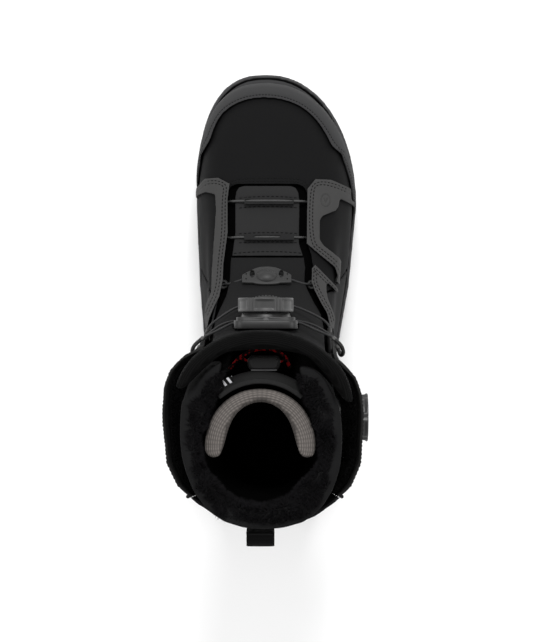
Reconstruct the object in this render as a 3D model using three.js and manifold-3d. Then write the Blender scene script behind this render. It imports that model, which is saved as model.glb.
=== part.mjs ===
// A right snowboard boot closed by two dials, in millimetres.
// Toe towards +Y, outer (lateral) side towards +X, sole on z = 0, origin under the middle of the sole.
import * as THREE from "three";
import { mergeVertices } from "three/addons/utils/BufferGeometryUtils.js";
import Module from "manifold-3d";

const wasm = await Module();
wasm.setup();

// Driving dimensions.
const LENGTH = 310;
const FOREFOOT_WIDTH = 115.5;
const HEIGHT = 285;
const GAP = 0.35;
const OUTSOLE_PLATE = 9;
const OUTSOLE_RIM = 3.2;
const LUG_DEPTH = 3.4;
const RIM_TOP = 26;
const MIDSOLE_TOP = 30;
const BOARD_THICKNESS = 2.7;
const WALL = 2.6;
const OVERLAY = 2;
const FLEECE = 2.4;
const LINER_WALL = 7;
const CABLE_RADIUS = 0.75;
const TONGUE_KNOB_RADIUS = 17.75;
const SIDE_KNOB_RADIUS = 15.5;
const KNOB_DEPTH = 9;
const KNOB_TRAVEL = 2.5;
const HOUSING_DEPTH = 7.5;
const LOOP_WIDTH = 18;

// The boot's shape is drawn at these nominal sizes, then stretched to the driving ones.
// The sole unit keeps its own heights, so only what stands above it is stretched upwards.
const NOMINAL = { length: 310, width: 115.5, height: 285 };
const WIDER = FOREFOOT_WIDTH / NOMINAL.width;
const LONGER = LENGTH / NOMINAL.length;
const BOARD_LOW = MIDSOLE_TOP + GAP;
const BOARD_HIGH = BOARD_LOW + BOARD_THICKNESS;
const TALLER = (HEIGHT - BOARD_HIGH) / (NOMINAL.height - BOARD_HIGH);
const lift = (z) => (z < BOARD_HIGH ? z : BOARD_HIGH + (z - BOARD_HIGH) * TALLER);
const at = (x, y, z) => new THREE.Vector3(x * WIDER, y * LONGER, lift(z));

// Solids and booleans.

function solidOf(geometry) {
  const bare = geometry.index ? geometry.toNonIndexed() : geometry.clone();
  bare.deleteAttribute("normal");
  bare.deleteAttribute("uv");
  const merged = mergeVertices(bare, 1e-4);
  return new wasm.Manifold(
    new wasm.Mesh({
      numProp: 3,
      vertProperties: new Float32Array(merged.attributes.position.array),
      triVerts: new Uint32Array(merged.index.array),
    }),
  );
}

function geometryOf(solid) {
  const made = solid.getMesh();
  const geometry = new THREE.BufferGeometry();
  geometry.setAttribute("position", new THREE.BufferAttribute(made.vertProperties, 3));
  geometry.setIndex(new THREE.BufferAttribute(made.triVerts, 1));
  geometry.computeVertexNormals();
  return geometry;
}

function largestBody(solid) {
  const bodies = solid.decompose();
  return bodies.reduce((best, body) => (body.volume() > best.volume() ? body : best));
}

const cut = (solid, ...tools) => tools.reduce((left, tool) => left.subtract(tool), solid);

const box = (low, high) => {
  const size = high.clone().sub(low);
  const geometry = new THREE.BoxGeometry(size.x, size.y, size.z);
  const middle = low.clone().add(high).multiplyScalar(0.5);
  return solidOf(geometry.translate(middle.x, middle.y, middle.z));
};

const turned = (profile, segments = 24) => {
  const points = profile.map(([radius, height]) => new THREE.Vector2(radius, height));
  const geometry = new THREE.LatheGeometry(points, segments);
  return solidOf(geometry.rotateX(Math.PI / 2));
};

// An outline of [x, y] corners, seen from above, as an upright prism.
function planPrism(points, low, high, bevel = 0) {
  const corners = points.map(([x, y]) => new THREE.Vector2(x * WIDER, y * LONGER));
  const geometry = new THREE.ExtrudeGeometry(new THREE.Shape(corners), {
    depth: lift(high) - lift(low) - 2 * bevel,
    bevelEnabled: bevel > 0,
    bevelThickness: bevel,
    bevelSize: bevel,
    bevelOffset: -bevel,
    bevelSegments: 2,
  });
  return solidOf(geometry.translate(0, 0, lift(low) + bevel));
}

// An outline of [y, z] corners, seen from the side, as a prism along X.
function sidePrism(points, low, high) {
  const corners = points.map(([y, z]) => new THREE.Vector2(y * LONGER, lift(z)));
  const depth = (high - low) * WIDER;
  const geometry = new THREE.ExtrudeGeometry(new THREE.Shape(corners), { depth, bevelEnabled: false });
  const basis = new THREE.Matrix4().makeBasis(
    new THREE.Vector3(0, 1, 0),
    new THREE.Vector3(0, 0, 1),
    new THREE.Vector3(1, 0, 0),
  );
  return solidOf(geometry.applyMatrix4(basis).translate(low * WIDER, 0, 0));
}

// A smooth curve through hand-laid corners.
function smooth(points, steps, closed = false) {
  const corners = points.map(([x, y]) => new THREE.Vector3(x, y, 0));
  const path = new THREE.CatmullRomCurve3(corners, closed, "centripetal");
  return path.getPoints(steps).map(({ x, y }) => [x, y]);
}

function arc(centre, radii, from, to, steps) {
  return Array.from({ length: steps + 1 }, (_, step) => {
    const angle = THREE.MathUtils.degToRad(from + ((to - from) * step) / steps);
    return [centre[0] + radii[0] * Math.cos(angle), centre[1] + radii[1] * Math.sin(angle)];
  });
}

// The shell's outer surface. Each row is one level of the boot:
// z, front, back, inner and outer half-width, where it is widest, and the two half-widths at the heel.
const ROWS = [
  [22, 144.2, -150, 47.6, 60, 60, 39, 41],
  [45, 144.6, -152.5, 48.2, 60.6, 60, 39, 41],
  [62, 141.2, -152.5, 47.6, 59.4, 58, 38.5, 40.5],
  [76, 133.5, -150, 45.6, 56.6, 54, 38, 40],
  [86, 119, -147, 43.5, 53, 47, 37.5, 39.5],
  [94, 101, -145, 41.5, 50, 38, 37, 39],
  [104, 74, -143.5, 40.5, 48, 22, 37, 39],
  [116, 46, -142.5, 40, 46.5, 3, 37.5, 39.5],
  [128, 22, -142, 40, 45.5, -15, 38.5, 40],
  [142, 5, -142, 41, 45.5, -32, 40, 41.5],
  [160, -7, -143, 42.5, 46, -46, 42, 43],
  [180, -18, -145, 44.5, 46.5, -58, 44, 44.5],
  [200, -26, -147, 46, 47, -68, 45.5, 46],
  [240, -28.5, -150, 50.5, 48.5, -80, 48, 47],
  [286, -28.5, -151, 55, 51, -86, 50, 48],
];
const HEEL_LINE = -110;
// How square the ends of each outline are: 2 is an ellipse.
const TOE_POWER = { inner: 2.6, outer: 2.1 };
const HEEL_POWER = 2.3;
const LEVELS = [22, 36, 52, 64, 74, 82, 89, 96, 104, 114, 126, 139, 154, 174, 196, 218, 241, 264, 286];
const AROUND = { front: 14, side: 4, back: 10 };

// One row between two others: a cubic through each column.
function rowAt(z) {
  const last = ROWS.length - 1;
  const next = ROWS.findIndex((row) => row[0] >= z);
  const high = next < 1 ? (next < 0 ? last : 1) : next;
  const low = high - 1;
  const t = THREE.MathUtils.clamp((z - ROWS[low][0]) / (ROWS[high][0] - ROWS[low][0]), 0, 1);
  const span = ROWS[high][0] - ROWS[low][0];
  const slope = (index, column) => {
    const before = ROWS[Math.max(index - 1, 0)];
    const after = ROWS[Math.min(index + 1, last)];
    return (after[column] - before[column]) / (after[0] - before[0]);
  };
  return ROWS[low].map((value, column) => {
    const rise = ROWS[high][column] - value;
    const start = slope(low, column) * span;
    const end = slope(high, column) * span;
    return value + start * t + (3 * rise - 2 * start - end) * t * t + (start + end - 2 * rise) * t ** 3;
  });
}

// One closed outline, anticlockwise from the outer side: round front, straight sides, round heel.
function outline([, front, back, inner, outer, widest, innerHeel, outerHeel], around = AROUND) {
  const points = [];
  const corner = (angle, power) => Math.abs(angle) ** (2 / power);
  for (let step = 0; step <= around.front; step++) {
    const angle = (Math.PI * step) / around.front;
    const side = Math.cos(angle) > 0 ? outer : inner;
    const power = Math.cos(angle) > 0 ? TOE_POWER.outer : TOE_POWER.inner;
    const x = Math.sign(Math.cos(angle)) * side * corner(Math.cos(angle), power);
    const y = widest + (front - widest) * corner(Math.sin(angle), power);
    points.push([Math.abs(x) < 1e-6 ? 0 : x, y]);
  }
  const side = (from, to, start, end) => {
    for (let step = 1; step < around.side; step++) {
      const t = step / around.side;
      points.push([THREE.MathUtils.lerp(from, to, t * t * (3 - 2 * t)), THREE.MathUtils.lerp(start, end, t)]);
    }
  };
  side(-inner, -innerHeel, widest, HEEL_LINE);
  for (let step = 0; step <= around.back; step++) {
    const angle = Math.PI + (Math.PI * step) / around.back;
    const half = Math.cos(angle) > 0 ? outerHeel : innerHeel;
    const x = Math.sign(Math.cos(angle)) * half * corner(Math.cos(angle), HEEL_POWER);
    const y = HEEL_LINE - (HEEL_LINE - back) * corner(Math.sin(angle), HEEL_POWER);
    points.push([Math.abs(x) < 1e-6 ? 0 : x, y]);
  }
  side(outerHeel, outer, HEEL_LINE, widest);
  return points;
}

// The cuff's sides lean outwards near the top, where the boot is opened.
const FLARE = { inner: 15, outer: 12.5 };
function flare(x, y, z) {
  const rise = THREE.MathUtils.smoothstep(z, 160, 242) * (x < 0 ? FLARE.inner : FLARE.outer);
  const sideways = THREE.MathUtils.smoothstep(Math.abs(x), 24, 46);
  const forward = THREE.MathUtils.smoothstep(y, -150, -108);
  return x + Math.sign(x) * rise * sideways * forward;
}

const ringAt = (z) => outline(rowAt(z)).map(([x, y]) => at(flare(x, y, z), y, z));
const shellRings = LEVELS.map(ringAt);

// The rings moved along the surface's own normals: inwards by depth, outwards if it is negative.
function movedRings(rings, depth) {
  return rings.map((ring, level) => {
    const below = rings[Math.max(level - 1, 0)];
    const above = rings[Math.min(level + 1, rings.length - 1)];
    return ring.map((point, index) => {
      const ahead = ring[(index + 1) % ring.length];
      const behind = ring[(index + ring.length - 1) % ring.length];
      const along = ahead.clone().sub(behind);
      const up = above[index].clone().sub(below[index]);
      const normal = along.cross(up).normalize();
      return point.clone().addScaledVector(normal, -depth);
    });
  });
}

function loft(rings) {
  const positions = [];
  const push = (...points) => points.forEach((point) => positions.push(point.x, point.y, point.z));
  rings.slice(1).forEach((ring, level) => {
    const below = rings[level];
    ring.forEach((point, index) => {
      const next = (index + 1) % ring.length;
      push(below[index], below[next], ring[next]);
      push(below[index], ring[next], point);
    });
  });
  const cap = (ring, upward) => {
    const middle = ring.reduce((sum, point) => sum.add(point), new THREE.Vector3()).divideScalar(ring.length);
    ring.forEach((point, index) => {
      const next = ring[(index + 1) % ring.length];
      if (upward) push(middle, point, next);
      else push(middle, next, point);
    });
  };
  cap(rings[0], false);
  cap(rings[rings.length - 1], true);
  const geometry = new THREE.BufferGeometry();
  return solidOf(geometry.setAttribute("position", new THREE.Float32BufferAttribute(positions, 3)));
}

// A cutter that runs past both ends of the rings.
function throughLoft(rings, past = 12) {
  const shifted = (ring, rise) => ring.map((point) => point.clone().setZ(point.z + rise));
  return loft([shifted(rings[0], -past), ...rings, shifted(rings[rings.length - 1], past)]);
}

// A layer of the shell between two depths under its outer surface.
function shellLayer(top, bottom) {
  const outside = loft(movedRings(shellRings, top));
  return outside.subtract(throughLoft(movedRings(shellRings, bottom)));
}

// The throat, seen from above: the opening that the tongue fills, and its edges.
const THROAT_INNER = [
  [-20, 70.3], [-23.6, 69.2], [-25.6, 66], [-26.3, 61], [-26, 38], [-28.6, 17], [-29, 5], [-31, -5.5],
  [-34.5, -13], [-37.3, -20], [-38.5, -27],
];
const THROAT_OUTER = [
  [41.5, -27], [39.7, -17], [35.6, -10], [31.5, -1.5], [29.5, 4], [30, 14], [29, 22], [26.5, 30], [27, 60],
  [26.2, 65.6], [24.2, 69], [20.5, 70.3],
];
const THROAT_BACK = -60;
const throatPoints = (grow, ahead) => [
  ...THROAT_INNER.map(([x, y]) => [x - grow, y + (y > 60 ? ahead : 0)]),
  [-38.5 - grow, THROAT_BACK],
  [41.5 + grow, THROAT_BACK],
  ...THROAT_OUTER.map(([x, y]) => [x + grow, y + (y > 60 ? ahead : 0)]),
];
// Behind the instep only the cuff is open, so that the throat doesn't reach the quarters' sides.
const aboveInstep = sidePrism([[-60, 150], [-30, 130], [0, 60], [100, 60], [100, 310], [-60, 310]], -95, 95);
const throatPrism = (grow, ahead = grow) =>
  planPrism(throatPoints(grow, ahead), 60, 300).intersect(aboveInstep);
const TONGUE_SLACK = 3.8;
const LOWER_TONGUE_SLACK = 4.4;
const GAITER = { depth: WALL + 2.2, thick: 1.2, overlap: 4 };
const TONGUE_FOLD_Y = 21;
const VAMP_SEAM = [[14, 10], [14, 60], [4, 95], [-4, 140], [-4, 200]];
const CUFF_BASE = 150;
const RIM_LINE = [
  [60, 185], [-24, 190], [-29, 199], [-37, 214], [-41, 224], [-47, 234], [-60, 240], [-128, 240], [-160, 243],
];

const lowZone = box(at(-90, -200, MIDSOLE_TOP + GAP), at(90, 200, CUFF_BASE));
const cuffZone = sidePrism([[60, CUFF_BASE + GAP], ...RIM_LINE, [-160, CUFF_BASE + GAP]], -95, 95);
const innerHalf = box(at(-95, -200, 0), at(-GAP / 2, 200, 320));
const outerHalf = box(at(GAP / 2, -200, 0), at(95, 200, 320));
const beforeSeam = sidePrism([...VAMP_SEAM, [200, 200], [200, 10]], -95, 95);
const vampSeamBack = VAMP_SEAM.map(([y, z]) => [y - GAP, z]);
const behindSeam = sidePrism([...vampSeamBack, [-200, 200], [-200, 10]], -95, 95);
const WING_BACK = -131;
const beforeSpine = box(at(-95, WING_BACK + GAP, 100), at(95, 100, 300));
const behindSpine = box(at(-95, -200, 100), at(95, WING_BACK, 300));

// A round section of a few sides, pushed along a curve.
function swept(path, radius, sides, steps) {
  const corners = arc([0, 0], [radius, radius], 0, 360 - 360 / sides, sides - 1);
  const section = new THREE.Shape(corners.map(([x, y]) => new THREE.Vector2(x, y)));
  return solidOf(new THREE.ExtrudeGeometry(section, { steps, extrudePath: path, bevelEnabled: false }));
}

// Cables: an eight-sided section along a hand-laid route, in the nominal frame.
function cableSolid(route, radius) {
  const path = new THREE.CatmullRomCurve3(route.map((point) => at(...point)), false, "centripetal");
  return swept(path, radius, 8, Math.round(route.length * 1.5));
}
const INSTEP_ROUTE = [
  [44.6, -78, 182], [43, -66, 182], [41, -45, 184], [40.2, -33, 187], [40.5, -26.8, 188.5], [36, -21, 183],
  [22, -14, 176.5], [10, -10.6, 172.4], [0, -7.9, 168.2], [-10, -10.6, 172.4], [-21, -14, 176.5],
  [-33, -22, 184],
  [-37.5, -27, 189], [-38.3, -33, 187], [-38, -34, 175], [-35.5, -22, 158], [-33, -8, 144], [-31, 1, 136],
  [-28.5, 2.4, 135.5], [-23, 3.2, 138.5], [-12, 6.7, 141.9], [0, 9.7, 142.9], [12, 6.7, 141.9],
  [23, 3.2, 138.5], [29.5, 2.4, 135], [33, 6, 127.5], [34.5, 20, 115.5], [31, 31, 112], [27, 34, 114],
  [20, 34.3, 121.3],
  [0, 34.3, 125.8], [-20, 34.3, 121.8], [-26, 34.3, 115], [-30, 38, 109.5], [-31.5, 48, 105.5],
  [-29.5, 57, 102.5],
  [-26, 59, 104.6], [-20, 59.2, 110.8], [0, 59.2, 116], [20, 59.2, 111.2], [26.5, 59, 105], [31, 57, 99.5],
  [36, 48, 95], [39.5, 30, 98], [40.5, 5, 106], [41.3, -25, 125], [42.5, -55, 150], [43.8, -72, 168],
  [44.6, -78, 178.5],
];
const CUFF_ROUTE = [
  [-14, -23, 197.5], [-21, -23.2, 197.5], [-30, -27.5, 202], [-40, -32.5, 208], [-45.5, -37.5, 211],
  [-47, -42, 209], [-45, -43.5, 203], [-42.5, -38, 199], [-39, -32, 197], [-30, -25, 190], [-21, -22, 185],
  [-12, -21.8, 181],
  [0, -21.8, 179.6], [11, -21.8, 181], [20, -22, 185], [31, -25, 190], [42, -32, 197], [45, -38, 199],
  [47, -43.5, 203], [48.5, -42, 209], [47, -37.5, 211], [42, -32.5, 208], [31, -27.5, 202],
  [21, -23.2, 197.5], [13, -23, 197.5],
];
const instepCable = cableSolid(INSTEP_ROUTE, CABLE_RADIUS);
const cuffCable = cableSolid(CUFF_ROUTE, CABLE_RADIUS);
const channels = [cableSolid(INSTEP_ROUTE, CABLE_RADIUS + GAP), cableSolid(CUFF_ROUTE, CABLE_RADIUS + GAP)];

// Materials.
const matte = (name, color, roughness = 0.85) => {
  const material = new THREE.MeshStandardMaterial({ color, roughness, metalness: 0 });
  material.name = name;
  return material;
};
const RUBBER = matte("rubber", 0x3c3c3e);
const FOAM = matte("foam", 0x2a2a2c);
const BLACK_TEXTILE = matte("black_textile", 0x1c1c1d);
const GREY_LEATHER = matte("grey_leather", 0x4e4e4f, 0.7);
const DARK_LEATHER = matte("dark_leather", 0x2d2d2e, 0.75);
const KNIT = matte("knit", 0x6e6966, 0.95);
const FUR = matte("fur", 0x121113, 1);
const PLASTIC = matte("plastic", 0x414142, 0.5);
const CORD_RED = matte("cord_red", 0x6b0d10, 0.9);
const CABLE_BLACK = matte("cable", 0x202021, 0.6);
const STEEL = new THREE.MeshStandardMaterial({ color: 0xa8a8aa, roughness: 0.35, metalness: 1 });

const boot = new THREE.Group();
boot.name = "snowboard_boot";

function add(name, solid, material, parent = boot) {
  const mesh = new THREE.Mesh(geometryOf(solid), material);
  mesh.name = name;
  parent.add(mesh);
  return mesh;
}

// Sole unit: a rubber cup with lugs, the foam core in it, and the board that the upper is lasted on.
const SOLE = { toe: 155, heel: -155, inner: 51, outer: 64.5, widest: 60, innerHeel: 41.5, outerHeel: 43.5 };
const soleRow = (inset) => [
  0, SOLE.toe - inset, SOLE.heel + inset, SOLE.inner - inset, SOLE.outer - inset, SOLE.widest,
  SOLE.innerHeel - inset, SOLE.outerHeel - inset,
];
const SOLE_AROUND = { front: 32, side: 3, back: 18 };
const soleRing = (z, inset) => outline(soleRow(inset), SOLE_AROUND).map(([x, y]) => at(x, y, 1).setZ(z));

function outsole() {
  const cup = loft([soleRing(0, 5), soleRing(2.5, 2), soleRing(12, 0.2), soleRing(RIM_TOP, 0.4)]);
  const hollow = loft([soleRing(OUTSOLE_PLATE, OUTSOLE_RIM), soleRing(RIM_TOP + 5, OUTSOLE_RIM)]);
  const lugGap = (y, width) => {
    const start = at(-90, y, -1);
    return box(start, new THREE.Vector3(-start.x, start.y + width, LUG_DEPTH));
  };
  const grooves = [-128, -108, -88, -60, 28, 46, 64, 82, 100, 118, 134].map((y) => lugGap(y, 4.5));
  return cut(cup, hollow, lugGap(-46, 26), ...grooves);
}

const midsole = () => {
  const inset = OUTSOLE_RIM + GAP;
  const foot = soleRing(OUTSOLE_PLATE + GAP, inset);
  return loft([foot, soleRing(RIM_TOP, inset), soleRing(MIDSOLE_TOP, inset + 1.5)]);
};

const BOARD_INSET = 1.4;
const boardRing = (z) => movedRings(shellRings, WALL + BOARD_INSET)[1].map((point) => point.clone().setZ(z));

add("outsole", outsole(), RUBBER);
add("midsole", midsole(), FOAM);
add("lasting_board", loft([boardRing(BOARD_LOW), boardRing(BOARD_HIGH)]), FOAM);

// Shell: one wall round the foot, cut into its panels.
const wall = shellLayer(0, WALL);
const throatOpening = throatPrism(GAP);
const lowWall = wall.intersect(lowZone).subtract(throatOpening);
const cuffWall = wall.intersect(cuffZone).subtract(throatOpening);
const overlay = shellLayer(-OVERLAY - GAP, -GAP);
const lowOverlay = overlay.intersect(box(at(-90, -200, MIDSOLE_TOP + GAP), at(90, 200, 190)));

const SIDE_DIAL = { x: 45.2, y: -84, z: 184 };
const TONGUE_DIAL = { x: -0.5, y: -27, z: 195 };

add("vamp", largestBody(cut(lowWall.intersect(beforeSeam), ...channels)), BLACK_TEXTILE);
const quarters = lowWall.intersect(behindSeam);
add("medial_quarter", largestBody(cut(quarters.intersect(innerHalf), ...channels)), DARK_LEATHER);
add("lateral_quarter", largestBody(cut(quarters.intersect(outerHalf), ...channels)), DARK_LEATHER);

// The toe cap's edge: seen from above over the toes, and as [y, z] from the side down each wall.
const CAP_TOP = [
  [52.3, 93], [45, 98.5], [41, 106], [34, 116.8], [24, 125.6], [12, 130.6], [-2, 132.4], [-15, 130.6],
  [-25, 126], [-31.4, 120.5], [-36, 112], [-39, 103.5], [-42, 98.5], [-46.2, 92.5],
];
const CAP_LATERAL = [[96, 79], [90, 75], [84, 71.5], [76, 69], [67, 64], [58, 56], [50, 44], [45, 31], [45, 20]];
const CAP_MEDIAL = [[95, 75], [92.5, 69.5], [86, 67], [80, 63], [75, 55], [71, 44], [67, 31], [67, 20]];
const CAP_EDGE = smooth(CAP_TOP, 28);
const CAP_START = CAP_TOP[0][0];
const CAP_END = CAP_TOP[CAP_TOP.length - 1][0];
const CAP_CLEARANCE = 1.2;
const behindLine = (line, low, high) =>
  sidePrism([...line, [-200, 20], [-200, 200], [line[0][0], 200]], low, high);
const aheadOfLine = (line, low, high) => {
  const grown = line.map(([y, z]) => [y - CAP_CLEARANCE, z + CAP_CLEARANCE]);
  return sidePrism([...grown, [200, 20], [200, 200], [grown[0][0], 200]], low, high);
};
const capHoles = [
  planPrism([...CAP_EDGE, [CAP_END, -200], [CAP_START, -200]], 0, 200),
  behindLine(CAP_LATERAL, CAP_START, 95),
  behindLine(CAP_MEDIAL, -95, CAP_END),
];
const capEdgeBack = CAP_EDGE.map(([x, y]) => [x, y - CAP_CLEARANCE]);
const capGrown = [
  planPrism([...capEdgeBack, [CAP_END, 200], [CAP_START, 200]], 0, 200),
  aheadOfLine(CAP_LATERAL, CAP_START, 95),
  aheadOfLine(CAP_MEDIAL, -95, CAP_END),
];
add("toe_cap", largestBody(cut(lowOverlay, ...capHoles)), RUBBER);

const MEDIAL_EYESTAY = [
  [-60, 70.5], [-48, 72], [-43, 76], [-33, 76], [-25, 71.5], ...THROAT_INNER.slice(3),
  [-40.1, -26.5], [-41.5, -20], [-40.8, -12], [-37.3, -3], [-37, 14], [-35.8, 35], [-34.8, 53], [-35.5, 64],
  [-42, 66], [-60, 63],
];
const LATERAL_LOWER = [
  [70, 61], [58.5, 62], [58.5, 70], [44, 75], [33, 75], [27.3, 68], [26.5, 30], [36, 22], [46, 14], [47.8, 8.5],
  [46.9, 4.4], [49.2, 2.2], [51.6, 4], [53, 17], [49.5, 21], [38.5, 29], [36, 33], [36.2, 46], [38, 49],
  [47, 53], [49.3, 56], [50.2, 61.5], [70, 54.5],
];
const LATERAL_UPPER = [
  [47.6, 0.6], [32.5, 16], [30, 13.5], ...THROAT_OUTER.slice(0, 5).reverse(), [44.3, -27.5], [45.8, -21],
  [44, -15.5], [41, -7.5], [40, -1.3], [40.4, 4], [47.2, -3.2], [48.6, -2.2],
];
const EYESTAY_FLOOR = [
  [120, 32], [54, 32], [52, 76], [16, 96], [-1, 100], [-2, 60], [-9, 60], [-10, 122], [-27, 148], [-40, 165],
  [-40, 220], [120, 220],
];
const eyestayZone = sidePrism(EYESTAY_FLOOR, -95, 95);
const overlayPanel = (points) => {
  const panel = overlay.intersect(planPrism(points, 20, 200)).intersect(eyestayZone);
  return largestBody(cut(panel, ...capGrown, ...channels));
};
add("medial_eyestay", overlayPanel(MEDIAL_EYESTAY), GREY_LEATHER);
add("lateral_eyestay_lower", overlayPanel(LATERAL_LOWER), GREY_LEATHER);
add("lateral_eyestay_upper", overlayPanel(LATERAL_UPPER), GREY_LEATHER);

const COUNTER = [
  [-70, 31], [-84, 60], [-100, 80], [-112, 92], [-120, 130], [-124, 149], [-170, 149], [-170, 31],
];
add("heel_counter", largestBody(lowOverlay.intersect(sidePrism(COUNTER, -90, 90))), RUBBER);

// Cuff: two flared wings, a spine behind them, and the fleece inside the wings.
const sideDialHole = (radius) => {
  const hole = turned([[0, -8], [radius, -8], [radius, 24], [0, 24]]);
  const turn = new THREE.Matrix4().makeRotationY(Math.PI / 2);
  turn.setPosition(at(SIDE_DIAL.x, SIDE_DIAL.y, SIDE_DIAL.z));
  return hole.transform(turn.toArray());
};
const sideHole = sideDialHole(SIDE_KNOB_RADIUS + GAP);
const wings = cuffWall.intersect(beforeSpine);
add("medial_cuff_wing", largestBody(cut(wings.intersect(innerHalf), ...channels)), DARK_LEATHER);
add("lateral_cuff_wing", largestBody(cut(wings.intersect(outerHalf), ...channels, sideHole)), DARK_LEATHER);
add("rear_cuff", largestBody(cuffWall.intersect(behindSpine)), DARK_LEATHER);

const FLEECE_ZONE = [[-50, 168], [-50, 228], [-62, 236], [WING_BACK + 2, 236], [WING_BACK + 2, 168]];
const fleece = shellLayer(WALL + GAP, WALL + GAP + FLEECE).intersect(sidePrism(FLEECE_ZONE, -95, 95));
add("medial_fleece", largestBody(cut(fleece.intersect(innerHalf), ...channels)), FUR);
add("lateral_fleece", largestBody(cut(fleece.intersect(outerHalf), ...channels, sideHole)), FUR);

// Shell tongue, lower part: a panel sewn to the vamp, and the two cable tunnels on it.
const belowFold = box(at(-90, TONGUE_FOLD_Y + GAP, 0), at(90, 200, 300));
const TUNNEL_HEIGHT = 4.4;
const tunnelZone = (y, depth) => box(at(-15.5, y - depth / 2, 90), at(18.5, y + depth / 2, 200));
const tunnel = (y, depth) => {
  const band = shellLayer(-TUNNEL_HEIGHT, -GAP).intersect(tunnelZone(y, depth));
  return largestBody(cut(band, ...channels));
};
const lowerPanel = wall.intersect(throatPrism(-LOWER_TONGUE_SLACK, 0)).intersect(belowFold);
add("lower_tongue", largestBody(cut(lowerPanel, ...channels)), BLACK_TEXTILE);
add("cable_tunnel_front", tunnel(59.2, 4.8), GREY_LEATHER);
add("cable_tunnel_rear", tunnel(34.3, 4.4), GREY_LEATHER);

// Dials. Each is built along its own Z axis, from the back of its housing outwards.
const CLEAR = 0.3;
const NECK_INSET = 2.9;
const POCKET_WALL = 2.6;
const POCKET_FLOOR = 1.4;
const NECK_TOP = HOUSING_DEPTH + 3;
const KNOB_LOW = NECK_TOP + CLEAR;
const KNOB_TOP = KNOB_LOW + KNOB_DEPTH;
const SHAFT_RADIUS = 1.7;

function extruded(points, low, high, bevel = 0) {
  const shape = new THREE.Shape(points.map(([x, y]) => new THREE.Vector2(x, y)));
  const geometry = new THREE.ExtrudeGeometry(shape, {
    depth: high - low - 2 * bevel,
    bevelEnabled: bevel > 0,
    bevelThickness: bevel,
    bevelSize: bevel,
    bevelOffset: -bevel,
    bevelSegments: 2,
  });
  return solidOf(geometry.translate(0, 0, low + bevel));
}

const roundedPlate = (wide, tall, corner) => [
  ...arc([wide / 2 - corner, tall / 2 - corner], [corner, corner], 0, 90, 4),
  ...arc([-wide / 2 + corner, tall / 2 - corner], [corner, corner], 90, 180, 4),
  ...arc([-wide / 2 + corner, -tall / 2 + corner], [corner, corner], 180, 270, 4),
  ...arc([wide / 2 - corner, -tall / 2 + corner], [corner, corner], 270, 360, 4),
];

function toothed(radius, depth, teeth) {
  return Array.from({ length: teeth * 4 }, (_, index) => {
    const angle = (index * Math.PI) / (teeth * 2);
    const reach = index % 4 < 2 ? radius : radius - depth;
    return [reach * Math.cos(angle), reach * Math.sin(angle)];
  });
}

function housing(knobRadius, plate) {
  const neck = knobRadius - NECK_INSET;
  const foot = neck + 1.2;
  const inside = neck - POCKET_WALL;
  const collar = turned([[0, 0.5], [foot, 0.5], [foot, HOUSING_DEPTH], [neck, NECK_TOP], [0, NECK_TOP]]);
  const pocket = turned([[0, POCKET_FLOOR], [inside, POCKET_FLOOR], [inside, NECK_TOP + 5], [0, NECK_TOP + 5]]);
  return plate.add(collar).subtract(pocket);
}

// The turning pieces and the knob that lifts off them.
const SPOOL = { low: 1.8, flange: 0.9, high: 6.8 };
const DISC = { low: 7.1, high: 9.6, teeth: 18, depth: 1.3 };
const GRIP = { teeth: 20, depth: 0.7, margin: 0.6 };
const SCREW_HEAD = { radius: 3.6, thick: 1 };
const DISH_DEPTH = 4;

const drumRadius = (knobRadius) => knobRadius - NECK_INSET - POCKET_WALL - CLEAR;
const drilled = (solid) => {
  const radius = SHAFT_RADIUS + CLEAR;
  return solid.subtract(turned([[0, -5], [radius, -5], [radius, 40], [0, 40]], 16));
};

function spool(drum) {
  const core = drum * 0.6;
  const profile = [
    [0, SPOOL.low], [drum, SPOOL.low], [drum, SPOOL.low + SPOOL.flange], [core, SPOOL.low + SPOOL.flange + 0.4],
    [core, SPOOL.high - SPOOL.flange - 0.4], [drum, SPOOL.high - SPOOL.flange], [drum, SPOOL.high],
    [0, SPOOL.high],
  ];
  return drilled(turned(profile));
}

const driveDisc = (drum) => drilled(extruded(toothed(drum, DISC.depth, DISC.teeth), DISC.low, DISC.high));

function knob(radius) {
  const face = KNOB_TOP - DISH_DEPTH;
  const rim = radius - GRIP.depth - 0.9;
  const side = [[0, KNOB_LOW], [rim, KNOB_LOW], [rim, KNOB_TOP - 1]];
  const core = turned([...side, [rim - 1, KNOB_TOP], [0, KNOB_TOP]]);
  const mouth = radius * 0.55;
  const slope = [[0, face], [radius * 0.38, face], [mouth, KNOB_TOP + 0.01]];
  const dish = turned([...slope, [mouth, KNOB_TOP + 3], [0, KNOB_TOP + 3]]);
  const drum = drumRadius(radius);
  const roof = KNOB_LOW + 1.6;
  const underside = turned([[0, KNOB_LOW - 3], [drum, KNOB_LOW - 3], [drum, roof], [0, roof]]);
  return drilled(cut(core, dish, underside));
}

function gripRing(radius) {
  const section = toothed(radius, GRIP.depth, GRIP.teeth);
  const ring = extruded(section, KNOB_LOW + GRIP.margin, KNOB_TOP - GRIP.margin);
  const inside = radius - GRIP.depth - 0.6;
  return ring.subtract(turned([[0, 0], [inside, 0], [inside, 40], [0, 40]]));
}

function dialScrew() {
  const head = KNOB_TOP - DISH_DEPTH + KNOB_TRAVEL + CLEAR;
  const end = head + SCREW_HEAD.thick;
  const shaft = [[0, POCKET_FLOOR + 0.5], [SHAFT_RADIUS, POCKET_FLOOR + 0.5], [SHAFT_RADIUS, head]];
  const top = [[SCREW_HEAD.radius, head], [SCREW_HEAD.radius, end], [0, end]];
  return turned([...shaft, ...top], 16);
}

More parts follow.
